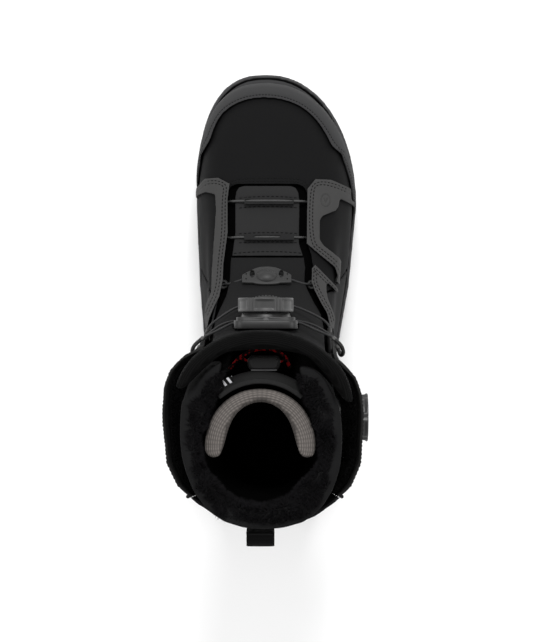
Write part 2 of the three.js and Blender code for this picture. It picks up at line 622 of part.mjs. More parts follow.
const dialPieces = (knobRadius) => ({
  spool: spool(drumRadius(knobRadius)),
  drive_disc: driveDisc(drumRadius(knobRadius)),
  knob: knob(knobRadius),
  grip_ring: gripRing(knobRadius),
  screw: dialScrew(),
});

const dialMaterials = { spool: PLASTIC, drive_disc: STEEL, knob: PLASTIC, grip_ring: RUBBER, screw: STEEL };

function addDial(prefix, place, turn, body, knobRadius) {
  const group = new THREE.Group();
  group.position.copy(at(place.x, place.y, place.z));
  group.rotation.set(turn[0], turn[1], turn[2]);
  boot.add(group);
  add(`${prefix}_housing`, body, PLASTIC, group);
  for (const [name, solid] of Object.entries(dialPieces(knobRadius))) {
    add(`${prefix}_${name}`, solid, dialMaterials[name], group);
  }
}

// A solid given in the boot's frame, seen from a dial's own frame.
function seenFrom(solid, place, turn) {
  const frame = new THREE.Matrix4().makeRotationFromEuler(new THREE.Euler(...turn));
  frame.setPosition(at(place.x, place.y, place.z));
  return solid.transform(frame.invert().toArray());
}

const TONGUE_TURN = [-Math.PI / 2, 0, 0];
const SIDE_TURN = [0, Math.PI / 2, 0];
const KNOB_CLEARANCE = 0.8;
const PLATE = { wide: 2 * TONGUE_KNOB_RADIUS + 5, tall: 2 * TONGUE_KNOB_RADIUS - 1, step: 5.4, ledge: 1.5 };
const basePlate = extruded(roundedPlate(PLATE.wide, PLATE.tall, 6), 0, PLATE.step, 0.6);
const upperOutline = roundedPlate(PLATE.wide - 2 * PLATE.ledge, PLATE.tall - 2 * PLATE.ledge, 5);
const tonguePlate = basePlate.add(extruded(upperOutline, PLATE.step - 1, HOUSING_DEPTH, 0.5));
const sidePlate = turned([
  [0, 0], [SIDE_KNOB_RADIUS, 0], [SIDE_KNOB_RADIUS, HOUSING_DEPTH], [0, HOUSING_DEPTH],
]);
const exitChannels = (place, turn) => channels.map((channel) => seenFrom(channel, place, turn));
const tongueHousing = cut(housing(TONGUE_KNOB_RADIUS, tonguePlate), ...exitChannels(TONGUE_DIAL, TONGUE_TURN));
const sideHousing = cut(housing(SIDE_KNOB_RADIUS, sidePlate), ...exitChannels(SIDE_DIAL, SIDE_TURN));
addDial("tongue_dial", TONGUE_DIAL, TONGUE_TURN, tongueHousing, TONGUE_KNOB_RADIUS);
addDial("side_dial", SIDE_DIAL, SIDE_TURN, sideHousing, SIDE_KNOB_RADIUS);

// Upper tongue: the panel behind the dial, its ribbed collar, and the two guides that the cables cross in.
const dialPocket = () => {
  const plate = extruded(roundedPlate(PLATE.wide + 2 * GAP, PLATE.tall + 2 * GAP, 6), -GAP, 45);
  const reach = TONGUE_KNOB_RADIUS + KNOB_CLEARANCE;
  const pocket = plate.add(turned([[0, PLATE.step], [reach, PLATE.step], [reach, 45], [0, 45]]));
  const frame = new THREE.Matrix4().makeRotationFromEuler(new THREE.Euler(...TONGUE_TURN));
  frame.setPosition(at(TONGUE_DIAL.x, TONGUE_DIAL.y, TONGUE_DIAL.z));
  return pocket.transform(frame.toArray());
};
const COLLAR_LOW = 258;
const aboveFold = box(at(-90, -58, 100), at(90, TONGUE_FOLD_Y, COLLAR_LOW - GAP));
const upperPanel = wall.intersect(throatPrism(-TONGUE_SLACK)).intersect(aboveFold);
add("upper_tongue", largestBody(cut(upperPanel, dialPocket(), ...channels)), BLACK_TEXTILE);

// A stretch gaiter closes the throat behind the tongue, so that snow stays out when it is open.
const gaiterLayer = shellLayer(GAITER.depth, GAITER.depth + GAITER.thick);
const gaiterZone = throatPrism(GAITER.overlap).intersect(box(at(-90, -36, 60), at(90, 80, 238)));
const gaiter = cut(gaiterLayer.intersect(gaiterZone), dialPocket(), ...channels);
add("throat_gaiter", largestBody(gaiter), BLACK_TEXTILE);

const collarPoints = (grow) => [
  ...arc([-2.2, -72], [54 + grow, 46.5 + grow], -3 - grow, 172 + grow, 22),
  ...arc([-2, -72], [45.5 - grow, 34.5 - grow], 170 + grow, -1 - grow, 18),
];
add("tongue_collar", planPrism(collarPoints(0), COLLAR_LOW, NOMINAL.height, 1.6), KNIT);

function addGuide(name, points, place, tilt, thick) {
  const frame = new THREE.Matrix4().makeRotationX(tilt);
  frame.setPosition(at(...place));
  const plate = extruded(points, 0, thick, 0.6).transform(frame.toArray());
  add(name, largestBody(cut(plate, ...channels)), PLASTIC);
}
const GUIDE_FRONT = [
  [-16.5, -7], [-16, 0], [-12, 3], ...arc([0, 1], [11, 6.5], 150, 30, 8), [12, 3], [16, 0], [16.5, -7],
  [0, -6.4],
];
const GUIDE_REAR = [...arc([0, -12], [14, 14], 25, 155, 10), ...arc([0, -12], [8.5, 8.5], 150, 30, 8)];
addGuide("tongue_guide_front", GUIDE_FRONT, [0, 7.7, 142.5], THREE.MathUtils.degToRad(-39), 4.2);
addGuide("tongue_guide_rear", GUIDE_REAR, [0, -9.3, 166.5], THREE.MathUtils.degToRad(-58), 4.2);

// Cables, whole from one end of the spool to the other.
add("instep_cable", instepCable, CABLE_BLACK);
add("cuff_cable", cuffCable, CABLE_BLACK);

// Heel pull loop: webbing folded over and stitched to the spine, drawn from the side as [outwards, up].
const LOOP = { x: -3.7, y: -153.2, z: 220, reach: 8.6, bend: 8, half: 17, thick: 1.6 };
function heelLoop() {
  const bow = (reach, bend) => [
    ...arc([0, LOOP.half], [reach, bend], 90, 0, 6),
    ...arc([0, -LOOP.half], [reach, bend], 0, -90, 6),
  ];
  const backing = [[0, -30], [-LOOP.thick, -30], [-LOOP.thick, 30], [0, 30]];
  const strap = extruded([...bow(LOOP.reach, LOOP.bend), ...backing], 0, LOOP_WIDTH);
  const gap = extruded(bow(LOOP.reach - LOOP.thick, LOOP.bend - LOOP.thick), -5, LOOP_WIDTH + 5);
  const basis = new THREE.Matrix4().makeBasis(
    new THREE.Vector3(0, -1, 0),
    new THREE.Vector3(0, 0, 1),
    new THREE.Vector3(-1, 0, 0),
  );
  basis.setPosition(at(LOOP.x, LOOP.y, LOOP.z).add(new THREE.Vector3(LOOP_WIDTH / 2, 0, 0)));
  return strap.subtract(gap).transform(basis.toArray());
}
add("heel_loop", heelLoop(), BLACK_TEXTILE);

// Liner: a padded boot inside the shell. Low down it follows the shell, at the cuff it is a plain oval.
const LINER_CLEARANCE = 0.6;
const LINER_DEPTH = GAITER.depth + GAITER.thick + LINER_CLEARANCE;
const LINER_BASE = 36;
const CUFF_LOW = 246;
const LINER_TOP = 279;
const LINER_OVALS = [[190, -1, -84.5, 39, 53.5], [CUFF_LOW, -2.9, -97, 46.5, 49.5]];
const LINER_AROUND = { front: 10, side: 3, back: 8 };
const LINER_POINTS = LINER_AROUND.front + LINER_AROUND.back + 2 * LINER_AROUND.side;
const LINER_LEVELS = [36, 50, 62, 72, 81, 90, 100, 112, 126, 142, 160, 190, 218, 246];

function ovalRing(z, grow) {
  const [low, high] = LINER_OVALS;
  const t = (z - low[0]) / (high[0] - low[0]);
  const [, x, y, wide, deep] = low.map((value, column) => THREE.MathUtils.lerp(value, high[column], t));
  return Array.from({ length: LINER_POINTS }, (_, index) => {
    const turn = (index / LINER_POINTS) * 2 * Math.PI;
    return at(x + (wide - grow) * Math.cos(turn), y + (deep - grow) * Math.sin(turn), z);
  });
}

function linerRings(grow) {
  const base = LINER_LEVELS.map((z) => outline(rowAt(z + 1.5), LINER_AROUND).map(([x, y]) => at(x, y, z)));
  const low = movedRings(base, LINER_DEPTH + grow);
  return LINER_LEVELS.map((z, level) => {
    const oval = THREE.MathUtils.smoothstep(z, 150, 190);
    const ring = ovalRing(Math.max(z, 190), grow).map((point) => point.setZ(lift(z)));
    return low[level].map((point, index) => point.clone().lerp(ring[index], oval));
  });
}

// The slot down the liner's front, and the join between its forefoot and its shaft.
const lacingGap = planPrism([[-21, 55], [-21, -60], [16, -60], [19, 55]], 90, 300);
const LINER_SEAM_Y = 0;
const outerLiner = loft(linerRings(0));
const innerLiner = throughLoft(linerRings(LINER_WALL), 20);
const linerWall = (low, high) => box(at(-90, low, LINER_BASE + LINER_WALL + GAP), at(90, high, CUFF_LOW));
const linerPanel = (low, high) =>
  largestBody(cut(outerLiner.intersect(linerWall(low, high)), innerLiner, lacingGap, ...channels));
add("liner_forefoot", linerPanel(LINER_SEAM_Y + GAP, 200), BLACK_TEXTILE);
add("liner_shaft", linerPanel(-200, LINER_SEAM_Y), BLACK_TEXTILE);
const linerFloor = box(at(-90, -200, LINER_BASE), at(90, 200, LINER_BASE + LINER_WALL));
add("liner_sole", largestBody(outerLiner.intersect(linerFloor)), FOAM);

// The liner's fur cuff, open at the front, with a knit pad rolled over its edge.
const PAD_CENTRE = [-3.6, -98];
const FLAP_OPENING = [[-35.5, -80], [-24.5, -50], [-23, -30], [15, -30], [17, -50], [23, -66], [31.5, -88]];
const PAD = [
  ...arc(PAD_CENTRE, [36, 37.2], -4, 184, 22),
  ...arc([-31.8, -100.3], [7.6, 7.6], 195, 345, 6),
  ...arc(PAD_CENTRE, [20.5, 26.5], 184, -4, 16),
  ...arc([24.6, -100.3], [7.6, 7.6], 195, 345, 6),
];
const padHole = planPrism(arc(PAD_CENTRE, [36.6, 37.8], -30, 210, 24), 200, 300);
const CUFF_OUTLINE = [
  [-55, -92], [-54.3, -78], [-53, -66], [-48.5, -54], [-41.6, -46], [-33, -43.5], [-23.6, -43.5], [15.4, -46],
  [25, -46], [34, -50], [42, -59], [47.5, -72], [48.8, -90], [48, -106], [44, -122], [36, -136], [24, -146],
  [8, -150], [-10, -150], [-24, -147], [-37, -139], [-47, -125], [-53, -108],
];
const cuffOval = planPrism([...CUFF_OUTLINE].reverse(), CUFF_LOW + GAP, LINER_TOP, 2.5);
const collarHole = planPrism(collarPoints(GAP), COLLAR_LOW - GAP, 320);
const cuffInside = planPrism(arc([-4.5, -98], [33.5, 36.5], 0, 352, 32), 200, 320);
const flapOpening = planPrism(FLAP_OPENING, 200, 320);
add("liner_cuff", largestBody(cut(cuffOval, cuffInside, flapOpening, padHole, collarHole)), FUR);
add("liner_collar_pad", planPrism(PAD, 240, 272, 2.5), KNIT);

const TONGUE_STRIP = [
  ...arc(PAD_CENTRE, [40, 41.5], 48, 132, 10),
  ...arc(PAD_CENTRE, [36.6, 37.8], 132, 48, 10),
];
add("liner_tongue", planPrism(TONGUE_STRIP, 236, 268), BLACK_TEXTILE);

const FOOTBED_THICK = 4.6;
const footbedLow = LINER_BASE + LINER_WALL + GAP;
const footbedRing = (z) => linerRings(LINER_WALL + 1)[1].map((point) => point.clone().setZ(lift(z)));
add("footbed", loft([footbedRing(footbedLow), footbedRing(footbedLow + FOOTBED_THICK)]), FOAM);

// Lacing of the liner, with the cord lock that holds it and the lock's sprung button.
const LACE_RADIUS = 1.1;
const LACE_ROUTE = [
  [-22.4, -51.5, 249.5], [-16.5, -44.6, 250.5], [-9, -40.4, 251], [-1.5, -39.2, 251], [6, -40.4, 251],
  [11.6, -44.4, 250.5], [14.4, -51, 249.5],
];
const LOCK = { x: -1.5, y: -47.6, z: 252, wide: 20, deep: 9, tall: 12 };
add("liner_lace", cableSolid(LACE_ROUTE, LACE_RADIUS), CORD_RED);
const lockFrame = at(LOCK.x, LOCK.y, LOCK.z);
const placed = (solid) => solid.translate([lockFrame.x, lockFrame.y, lockFrame.z]);
const lockBlock = extruded(roundedPlate(LOCK.wide, LOCK.deep, 3), -LOCK.tall / 2, LOCK.tall / 2, 1);
const boreFloor = -LOCK.tall / 2 + 2.4;
const lockBore = turned([[0, boreFloor], [3, boreFloor], [3, LOCK.tall], [0, LOCK.tall]], 16);
add("cord_lock_body", placed(lockBlock.subtract(lockBore)), PLASTIC);

const BUTTON = { low: -0.8, radius: 2.6, head: LOCK.tall / 2 + 3, thick: 2 };
const buttonTop = BUTTON.head + 0.4;
const postSide = [[0, BUTTON.low], [BUTTON.radius, BUTTON.low], [BUTTON.radius, buttonTop]];
const buttonPost = turned([...postSide, [0, buttonTop]], 16);
const buttonPlate = roundedPlate(LOCK.wide - 3, LOCK.deep - 2, 2.5);
const buttonHead = extruded(buttonPlate, BUTTON.head, BUTTON.head + BUTTON.thick, 0.5);
add("cord_lock_button", placed(buttonPost.add(buttonHead)), PLASTIC);

const SPRING = { low: boreFloor + 0.3, high: BUTTON.low - 0.3, radius: 1.9, wire: 0.3, turns: 2, steps: 24 };
function spring() {
  const points = Array.from({ length: SPRING.steps + 1 }, (_, step) => {
    const t = step / SPRING.steps;
    const angle = t * SPRING.turns * 2 * Math.PI;
    const z = THREE.MathUtils.lerp(SPRING.low + SPRING.wire, SPRING.high - SPRING.wire, t);
    return new THREE.Vector3(SPRING.radius * Math.cos(angle), SPRING.radius * Math.sin(angle), z);
  });
  return swept(new THREE.CatmullRomCurve3(points), SPRING.wire, 6, SPRING.steps);
}
add("cord_lock_spring", placed(spring()), STEEL);

// A plain woven label sewn to the front of the liner's tongue.
const LABEL = [...arc(PAD_CENTRE, [40.8, 42.3], 145, 113, 6), ...arc(PAD_CENTRE, [45, 46.5], 113, 145, 6)];
const insideFlap = planPrism(FLAP_OPENING.map(([x, y]) => [x - Math.sign(x) * GAP, y]), 200, 320);
add("liner_label", largestBody(planPrism(LABEL, 262, 264).intersect(insideFlap)), FOAM);

export default boot;
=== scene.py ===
"""A right snowboard boot with two cable dials, dressed over its CAD frame and set on a pale studio floor."""
import math
import bmesh
import bpy
import numpy as np
from mathutils import Matrix, Vector, noise
from mathutils.bvhtree import BVHTree
from mathutils.kdtree import KDTree


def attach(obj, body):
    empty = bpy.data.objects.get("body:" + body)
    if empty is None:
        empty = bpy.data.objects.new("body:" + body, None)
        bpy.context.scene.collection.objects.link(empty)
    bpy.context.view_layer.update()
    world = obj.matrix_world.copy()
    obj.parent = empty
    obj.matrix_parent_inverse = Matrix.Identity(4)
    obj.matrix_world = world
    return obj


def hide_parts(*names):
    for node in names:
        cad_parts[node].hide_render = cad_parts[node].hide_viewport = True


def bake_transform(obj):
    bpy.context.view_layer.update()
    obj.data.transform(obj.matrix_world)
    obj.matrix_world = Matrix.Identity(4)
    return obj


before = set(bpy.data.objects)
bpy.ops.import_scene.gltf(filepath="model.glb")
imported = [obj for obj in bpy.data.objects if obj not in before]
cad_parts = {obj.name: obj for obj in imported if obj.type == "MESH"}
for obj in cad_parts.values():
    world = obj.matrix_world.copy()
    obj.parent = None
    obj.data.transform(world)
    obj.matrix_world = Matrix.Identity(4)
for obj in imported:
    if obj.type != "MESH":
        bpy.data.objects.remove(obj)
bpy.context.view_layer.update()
scene = bpy.context.scene
MM = 0.001


# Studio: the camera hangs straight over the boot, a little off its middle, with the toe up in the frame.
# A white floor under it, and broad lights from the toe's side that throw the shadow towards the heel.
camera_data = bpy.data.cameras.new("camera")
camera_data.lens = 123.35
camera_data.sensor_width = 36
camera_data.sensor_fit = "AUTO"
camera_data.clip_end = 20
camera = bpy.data.objects.new("camera", camera_data)
camera.location = (2.5 * MM, -22 * MM, 1600 * MM)
scene.collection.objects.link(camera)
scene.camera = camera

bpy.ops.mesh.primitive_plane_add(size=12, location=(0, 0, 0))
floor = bpy.context.object
floor.name = "studio_floor"


def lamp(name, place, aim, wide, watts):
    light = bpy.data.lights.new(name, "AREA")
    light.shape = "DISK"
    light.size = wide
    light.energy = watts
    made = bpy.data.objects.new(name, light)
    made.location = place
    made.rotation_euler = (Vector(aim) - Vector(place)).to_track_quat("-Z", "Y").to_euler()
    scene.collection.objects.link(made)
    return made


lamp("toe_light", (0.05, 1.5, 2.3), (0, 0, 0.1), 0.8, 46)
lamp("lateral_light", (1.5, 0.1, 1.5), (0, 0, 0.1), 0.9, 10)
lamp("medial_light", (-1.5, 0.2, 1.5), (0, 0, 0.1), 0.9, 10)
world = bpy.data.worlds.new("studio_air")
world.use_nodes = True
world.node_tree.nodes["Background"].inputs["Color"].default_value = (1, 1, 1, 1)
world.node_tree.nodes["Background"].inputs["Strength"].default_value = 0.75
scene.world = world
scene.view_settings.view_transform = "Standard"


class Figure:
    """A number, colour or vector in a finish; Python's arithmetic on it adds Math nodes."""

    def __init__(self, finish, socket):
        self.finish = finish
        self.socket = socket

    def sum(self, operation, *values):
        return self.finish.node("ShaderNodeMath", {"operation": operation}, values)

    def __add__(self, other):
        return self.sum("ADD", self, other)

    def __sub__(self, other):
        return self.sum("SUBTRACT", self, other)

    def __rsub__(self, other):
        return self.sum("SUBTRACT", other, self)

    def __mul__(self, other):
        return self.sum("MULTIPLY", self, other)

    def __truediv__(self, other):
        return self.sum("DIVIDE", self, other)

    def __pow__(self, other):
        return self.sum("POWER", self, other)

    __radd__ = __add__
    __rmul__ = __mul__

    def swing(self):
        """A smooth wave from 0 to 1, one crest for each whole number."""
        return self.sum("SINE", self * (2 * math.pi)) * 0.5 + 0.5

    def axis(self, letter):
        return self.finish.node("ShaderNodeSeparateXYZ", {}, [self], output="XYZ".index(letter))

    def ramp(self, low, high):
        """0 at low, 1 at high, and a smooth rise between them."""
        values = {"Value": self, "From Min": low, "From Max": high}
        return self.finish.node("ShaderNodeMapRange", {"interpolation_type": "SMOOTHSTEP"}, values)


class Finish:
    """One surface finish."""

    def __init__(self, name, colour, roughness, **fixed):
        self.material = bpy.data.materials.new(name)
        self.material.use_nodes = True
        self.tree = self.material.node_tree
        self.shader = self.tree.nodes["Principled BSDF"]
        self.feed("Base Color", (*colour, 1))
        self.feed("Roughness", roughness)
        for socket, value in fixed.items():
            self.feed(socket.replace("_", " "), value)

    def feed(self, socket, value):
        self.connect(self.shader.inputs[socket], value)
        return self

    def connect(self, socket, value):
        if isinstance(value, Figure):
            self.tree.links.new(value.socket, socket)
        else:
            socket.default_value = value

    def node(self, kind, settings=None, values=(), output=0):
        made = self.tree.nodes.new(kind)
        for name, value in (settings or {}).items():
            setattr(made, name, value)
        pairs = values.items() if isinstance(values, dict) else enumerate(values)
        for socket, value in pairs:
            self.connect(made.inputs[socket], value)
        return Figure(self, made.outputs[output])

    def spot(self, scale=(1, 1, 1), turn=(0, 0, 0), shift=(0, 0, 0)):
        """The place on the piece in its own frame, stretched, turned and shifted."""
        here = self.node("ShaderNodeTexCoord", output="Object")
        values = {"Vector": here, "Location": shift, "Rotation": turn, "Scale": scale}
        return self.node("ShaderNodeMapping", {}, values)

    def mark(self, name):
        """A value stored on the piece's points."""
        return self.node("ShaderNodeAttribute", {"attribute_name": name}, output="Fac")

    def noise(self, where, scale, detail=2.0, rough=0.5):
        values = {"Vector": where, "Scale": scale, "Detail": detail, "Roughness": rough}
        return self.node("ShaderNodeTexNoise", {}, values)

    def cells(self, where, scale, feature="F1"):
        return self.node("ShaderNodeTexVoronoi", {"feature": feature}, {"Vector": where, "Scale": scale})

    def shades(self, mask, dark, light):
        values = {0: mask, 6: (*dark, 1), 7: (*light, 1)}
        return self.node("ShaderNodeMix", {"data_type": "RGBA"}, values, output=2)

    def relief(self, height, depth, strength=1.0):
        """Bump: height from 0 to 1 stands for depth metres."""
        bump = self.node("ShaderNodeBump", {}, {"Height": height, "Distance": depth, "Strength": strength})
        return self.feed("Normal", bump)


def grey(value):
    return (value, value, value)


floor.data.materials.append(Finish("studio_white", grey(0.95), 0.95, Specular_IOR_Level=0.0).material)


# Sole unit: a moulded rubber cup with lugs under it and two lines pressed round its rim, the foam
# midsole that fills it up to the upper, and the stiff board and footbed inside. All are glued together.
def grain_finish(name, colour, lift, roughness, size, depth, shine=0.1, edge=0.0):
    """A pebbled grain with cloudy tone; edge is how much lighter the sharp edges are painted, partly as wear
    and partly as a painted highlight.
    """
    made = Finish(name, colour, roughness, Specular_IOR_Level=shine)
    spot = made.spot()
    pebbles = made.cells(spot, 1 / size, "SMOOTH_F1")
    cloud = made.noise(spot, 70, 4)
    fine = made.noise(spot, 3 / size, 3)
    # Sharp edges are painted lighter: partly wear, partly a painted highlight where they catch the light.
    edge_wear_and_highlight = made.mark("edge_wear_and_highlight").ramp(0.15, 0.9) * edge
    light = tuple(value * lift for value in colour)
    made.feed("Base Color", made.shades(cloud * 0.6 + fine * 0.4 + edge_wear_and_highlight, colour, light))
    made.feed("Roughness", roughness + (cloud - 0.5) * 0.15)
    made.relief(pebbles * 0.7 + fine * 0.3, depth)
    return made.material


def dress(piece, material, body, *replaced, slot=None):
    """Gives a finished piece its material, its body and the CAD nodes that it stands for."""
    piece.data.materials.clear()
    piece.data.materials.append(material)
    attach(piece, body)
    if replaced:
        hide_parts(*replaced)
    return piece


def pick(piece):
    bpy.ops.object.select_all(action="DESELECT")
    piece.select_set(True)
    bpy.context.view_layer.objects.active = piece


def settle(piece, kind, **settings):
    """Adds one modifier and applies it."""
    pick(piece)
    modifier = piece.modifiers.new(kind.lower(), kind)
    for name, value in settings.items():
        setattr(modifier, name, value)
    bpy.ops.object.modifier_apply(modifier=modifier.name)


def copy_node(node, name):
    """A merged copy of a CAD node's mesh, as a new piece."""
    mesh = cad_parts[node].data.copy()
    mesh.name = name
    piece = bpy.data.objects.new(name, mesh)
    scene.collection.objects.link(piece)
    pick(piece)
    bpy.ops.object.mode_set(mode="EDIT")
    bpy.ops.mesh.select_all(action="SELECT")
    bpy.ops.mesh.remove_doubles(threshold=0.00002)
    bpy.ops.object.mode_set(mode="OBJECT")
    return piece


def points_of(piece, of="co"):
    values = np.empty(len(piece.data.vertices) * 3)
    piece.data.vertices.foreach_get(of, values)
    return values.reshape(-1, 3)


def set_points(piece, points):
    piece.data.vertices.foreach_set("co", points.ravel())
    piece.data.update()


def neighbour_mean(piece, points):
    """For each point, the middle of the points that an edge joins it to."""
    ends = np.empty(len(piece.data.edges) * 2, int)
    piece.data.edges.foreach_get("vertices", ends)
    one, two = ends.reshape(-1, 2).T
    count = len(points)
    near = np.maximum(np.bincount(one, minlength=count) + np.bincount(two, minlength=count), 1)
    sums = [np.bincount(one, points[two, axis], count) + np.bincount(two, points[one, axis], count)
            for axis in range(3)]
    return np.stack(sums, axis=1) / near[:, None]


def ease(piece, rounds, most):
    """Relaxes the mesh so that flat facets run into each other, moving no point further than most."""
    start = points_of(piece)
    now = start.copy()
    for _ in range(rounds):
        step = neighbour_mean(piece, now) - start
        far = np.maximum(np.linalg.norm(step, axis=1, keepdims=True), 1e-12)
        now = start + step * np.minimum(1, most / far)
    set_points(piece, now)


def mark_edges(piece, size):
    """Stores how sharply the surface turns at each point, for the lighter edges that are partly wear and partly
    a painted highlight.
    """
    points = points_of(piece)
    for _ in range(3):
        points = neighbour_mean(piece, points)
    bend = np.einsum("ij,ij->i", points_of(piece) - points, points_of(piece, "normal")) / size
    edge_wear_and_highlight = piece.data.attributes.new("edge_wear_and_highlight", "FLOAT", "POINT")
    edge_wear_and_highlight.data.foreach_set("value", np.clip(bend * 2, 0, 1).astype(np.float32))


def skin_of(node, name, voxel, rounds=30, most=0.5):
    """A moulded or sewn panel: the node's solid in small even faces, facets eased and edges rounded."""
    piece = copy_node(node, name)
    settle(piece, "REMESH", mode="VOXEL", voxel_size=voxel * MM, use_smooth_shade=True)
    ease(piece, rounds, most * MM)
    mark_edges(piece, voxel * MM)
    pick(piece)
    bpy.ops.object.shade_smooth()
    return piece


def press(piece, places, depth, wide):
    """Pushes the surface in along a line of places, as a stitch or a mould does."""
    tree = KDTree(len(places))
    for index, place in enumerate(places):
        tree.insert(place, index)
    tree.balance()
    points = points_of(piece)
    normals = points_of(piece, "normal")
    for index, point in enumerate(points):
        gap = tree.find(point)[2]
        if gap < 2.5 * wide:
            points[index] -= normals[index] * depth * math.exp(-((gap / wide) ** 2))
    set_points(piece, points)


sole_rubber = grain_finish("sole_rubber", (0.047, 0.047, 0.048), 1.3, 0.7, 0.7 * MM, 0.02 * MM, 0.08, 0.4)
sole_foam = grain_finish("sole_foam", (0.03, 0.03, 0.031), 1.3, 0.85, 0.9 * MM, 0.03 * MM, 0.05)
inner_board = grain_finish("inner_board", grey(0.006), 1.3, 0.9, 1.2 * MM, 0.04 * MM, 0.02)

outsole = skin_of("outsole", "outsole_cup", 1.3, 40, 0.35)
cup = points_of(outsole)
cup_normals = points_of(outsole, "normal")
level = cup[:, 2] / MM
GROOVES = ((21.5, 0.8), (17.5, 0.8), (7.5, 1.1))
band = sum(np.exp(-(((level - height) / wide) ** 2)) for height, wide in GROOVES)
outward = np.hypot(cup_normals[:, 0], cup_normals[:, 1]) > 0.75
set_points(outsole, cup - cup_normals * (band * outward * 0.9 * MM)[:, None])
dress(outsole, sole_rubber, "shell", "outsole", slot="outsole_rubber")
dress(skin_of("midsole", "midsole_wedge", 1.8, 40, 0.7), sole_foam, "shell", "midsole", slot="foam")
dress(skin_of("lasting_board", "insole_board", 1.6), inner_board, "shell", "lasting_board", slot="foam")
dress(skin_of("footbed", "footbed_foam", 1.8), inner_board, "shell", "footbed", slot="foam")


# Upper: a smooth coated vamp, dark leather quarters behind it, a moulded toe cap and heel counter on top,
# and grey leather stays along the lacing. Each overlay is sewn down with one or two rows of thread.
def add_stock(kind, name, **settings):
    """A fresh primitive with its place in its own mesh, ready to be shaped."""
    bpy.ops.object.select_all(action="DESELECT")
    getattr(bpy.ops.mesh, f"primitive_{kind}_add")(**settings)
    piece = bpy.context.object
    piece.name = piece.data.name = name
    bpy.ops.object.transform_apply(location=True, rotation=True, scale=True)
    return piece


def rounded(line, rounds=3):
    """The line with its corners cut away, so that it bends smoothly."""
    points = [Vector(point) for point in line]
    for _ in range(rounds):
        cut = [points[0]]
        for a, b in zip(points, points[1:]):
            cut += [a.lerp(b, 0.25), a.lerp(b, 0.75)]
        points = cut + [points[-1]]
    return points


def spaced(points, pitch):
    """Points at even steps along the line."""
    out = [points[0].copy()]
    left = pitch
    for a, b in zip(points, points[1:]):
        length = (b - a).length
        while left <= length:
            out.append(a.lerp(b, left / length))
            left += pitch
        left -= length
    return out


def beside(line, distance):
    """The line moved sideways, to its left if distance is positive."""
    points = [Vector(point) for point in line]
    moved = []
    for index, point in enumerate(points):
        along = (points[min(index + 1, len(points) - 1)] - points[max(index - 1, 0)]).normalized()
        moved.append(point + Vector((-along.y, along.x)) * distance)
    return moved


# How a flat line is thrown onto a panel: from above, or from the boot's inner or outer side.
VIEWS = {
    "above": lambda u, v: (Vector((u, v, 400)) * MM, Vector((0, 0, -1))),
    "inner": lambda u, v: (Vector((-200, u, v)) * MM, Vector((1, 0, 0))),
    "outer": lambda u, v: (Vector((200, u, v)) * MM, Vector((-1, 0, 0))),
    "behind": lambda u, v: (Vector((u, -300, v)) * MM, Vector((0, 1, 0))),
}


def thrown(panel, line, view):
    """Where the line's points land on the panel, with the surface's direction there."""
    tree = BVHTree.FromObject(panel, bpy.context.evaluated_depsgraph_get())
    landed = []
    for point in line:
        start, heading = VIEWS[view](*point)
        place, normal, _, _ = tree.ray_cast(start, heading)
        landed.append((place, normal) if place and normal.dot(heading) < -0.12 else None)
    return landed


def stitch_shape():
    """One stitch, a thread lying from hole to hole, 1 long and 1 thick."""
    pattern = add_stock("uv_sphere", "stitch_pattern", segments=6, ring_count=4, radius=0.5)
    pattern.data.transform(Matrix.Rotation(math.pi / 2, 4, "Y"))
    points = points_of(pattern)
    faces = [tuple(face.vertices) for face in pattern.data.polygons]
    bpy.data.objects.remove(pattern)
    return points, faces


STITCH_POINTS, STITCH_FACES = stitch_shape()


def sew(name, panel, lines, view="above", pitch=2.5, long=1.85, thick=0.75, groove=0.34):
    """Rows of stitches laid on a panel of the shell, in a shallow groove."""
    points, faces, pressed = [], [], []
    for line in lines:
        ends = spaced(rounded(line), pitch / 2)
        landed = thrown(panel, ends, view)
        pressed += [hit[0] for hit in landed if hit]
        for first, last in zip(landed[::2], landed[1::2]):
            if not first or not last or (first[0] - last[0]).length > pitch * MM:
                continue
            along = (last[0] - first[0]).normalized()
            across = first[1].cross(along).normalized()
            up = along.cross(across)
            middle = (first[0] + last[0]) / 2 - up * (groove - 0.16) * MM
            turn = np.array([along * long, across * thick, up * thick]) * MM
            start = len(points)
            points += list(STITCH_POINTS @ turn + np.array(middle))
            faces += [tuple(start + corner for corner in face) for face in STITCH_FACES]
    press(panel, pressed, groove * MM, 0.75 * MM)
    mesh = bpy.data.meshes.new(name)
    mesh.from_pydata([tuple(point) for point in points], [], faces)
    mesh.shade_smooth()
    piece = bpy.data.objects.new(name, mesh)
    scene.collection.objects.link(piece)
    return dress(piece, thread, "shell", slot="black_textile")


def thread_finish():
    made = Finish("waxed_thread", grey(0.0012), 0.7, Specular_IOR_Level=0.15)
    spot = made.spot()
    made.feed("Base Color", made.shades(made.noise(spot, 2500, 2), grey(0.0008), grey(0.0028)))
    return made.relief(made.noise(spot, 3500, 1), 0.03 * MM).material


thread = thread_finish()
coated = grain_finish("coated_cloth", (0.0047, 0.0047, 0.0049), 1.3, 0.8, 0.5 * MM, 0.02 * MM, 0.06, 0.5)
cap_rubber = grain_finish("toe_rubber", (0.0255, 0.0255, 0.0262), 1.2, 0.75, 0.6 * MM, 0.012 * MM, 0.08, 0.2)
grey_leather = grain_finish("grey_leather", (0.0335, 0.0332, 0.033), 1.4, 0.75, 0.8 * MM, 0.05 * MM, 0.08, 1.1)
dark_leather = grain_finish("dark_leather", (0.0105, 0.0105, 0.0108), 1.35, 0.8, 0.8 * MM, 0.04 * MM, 0.06, 0.5)

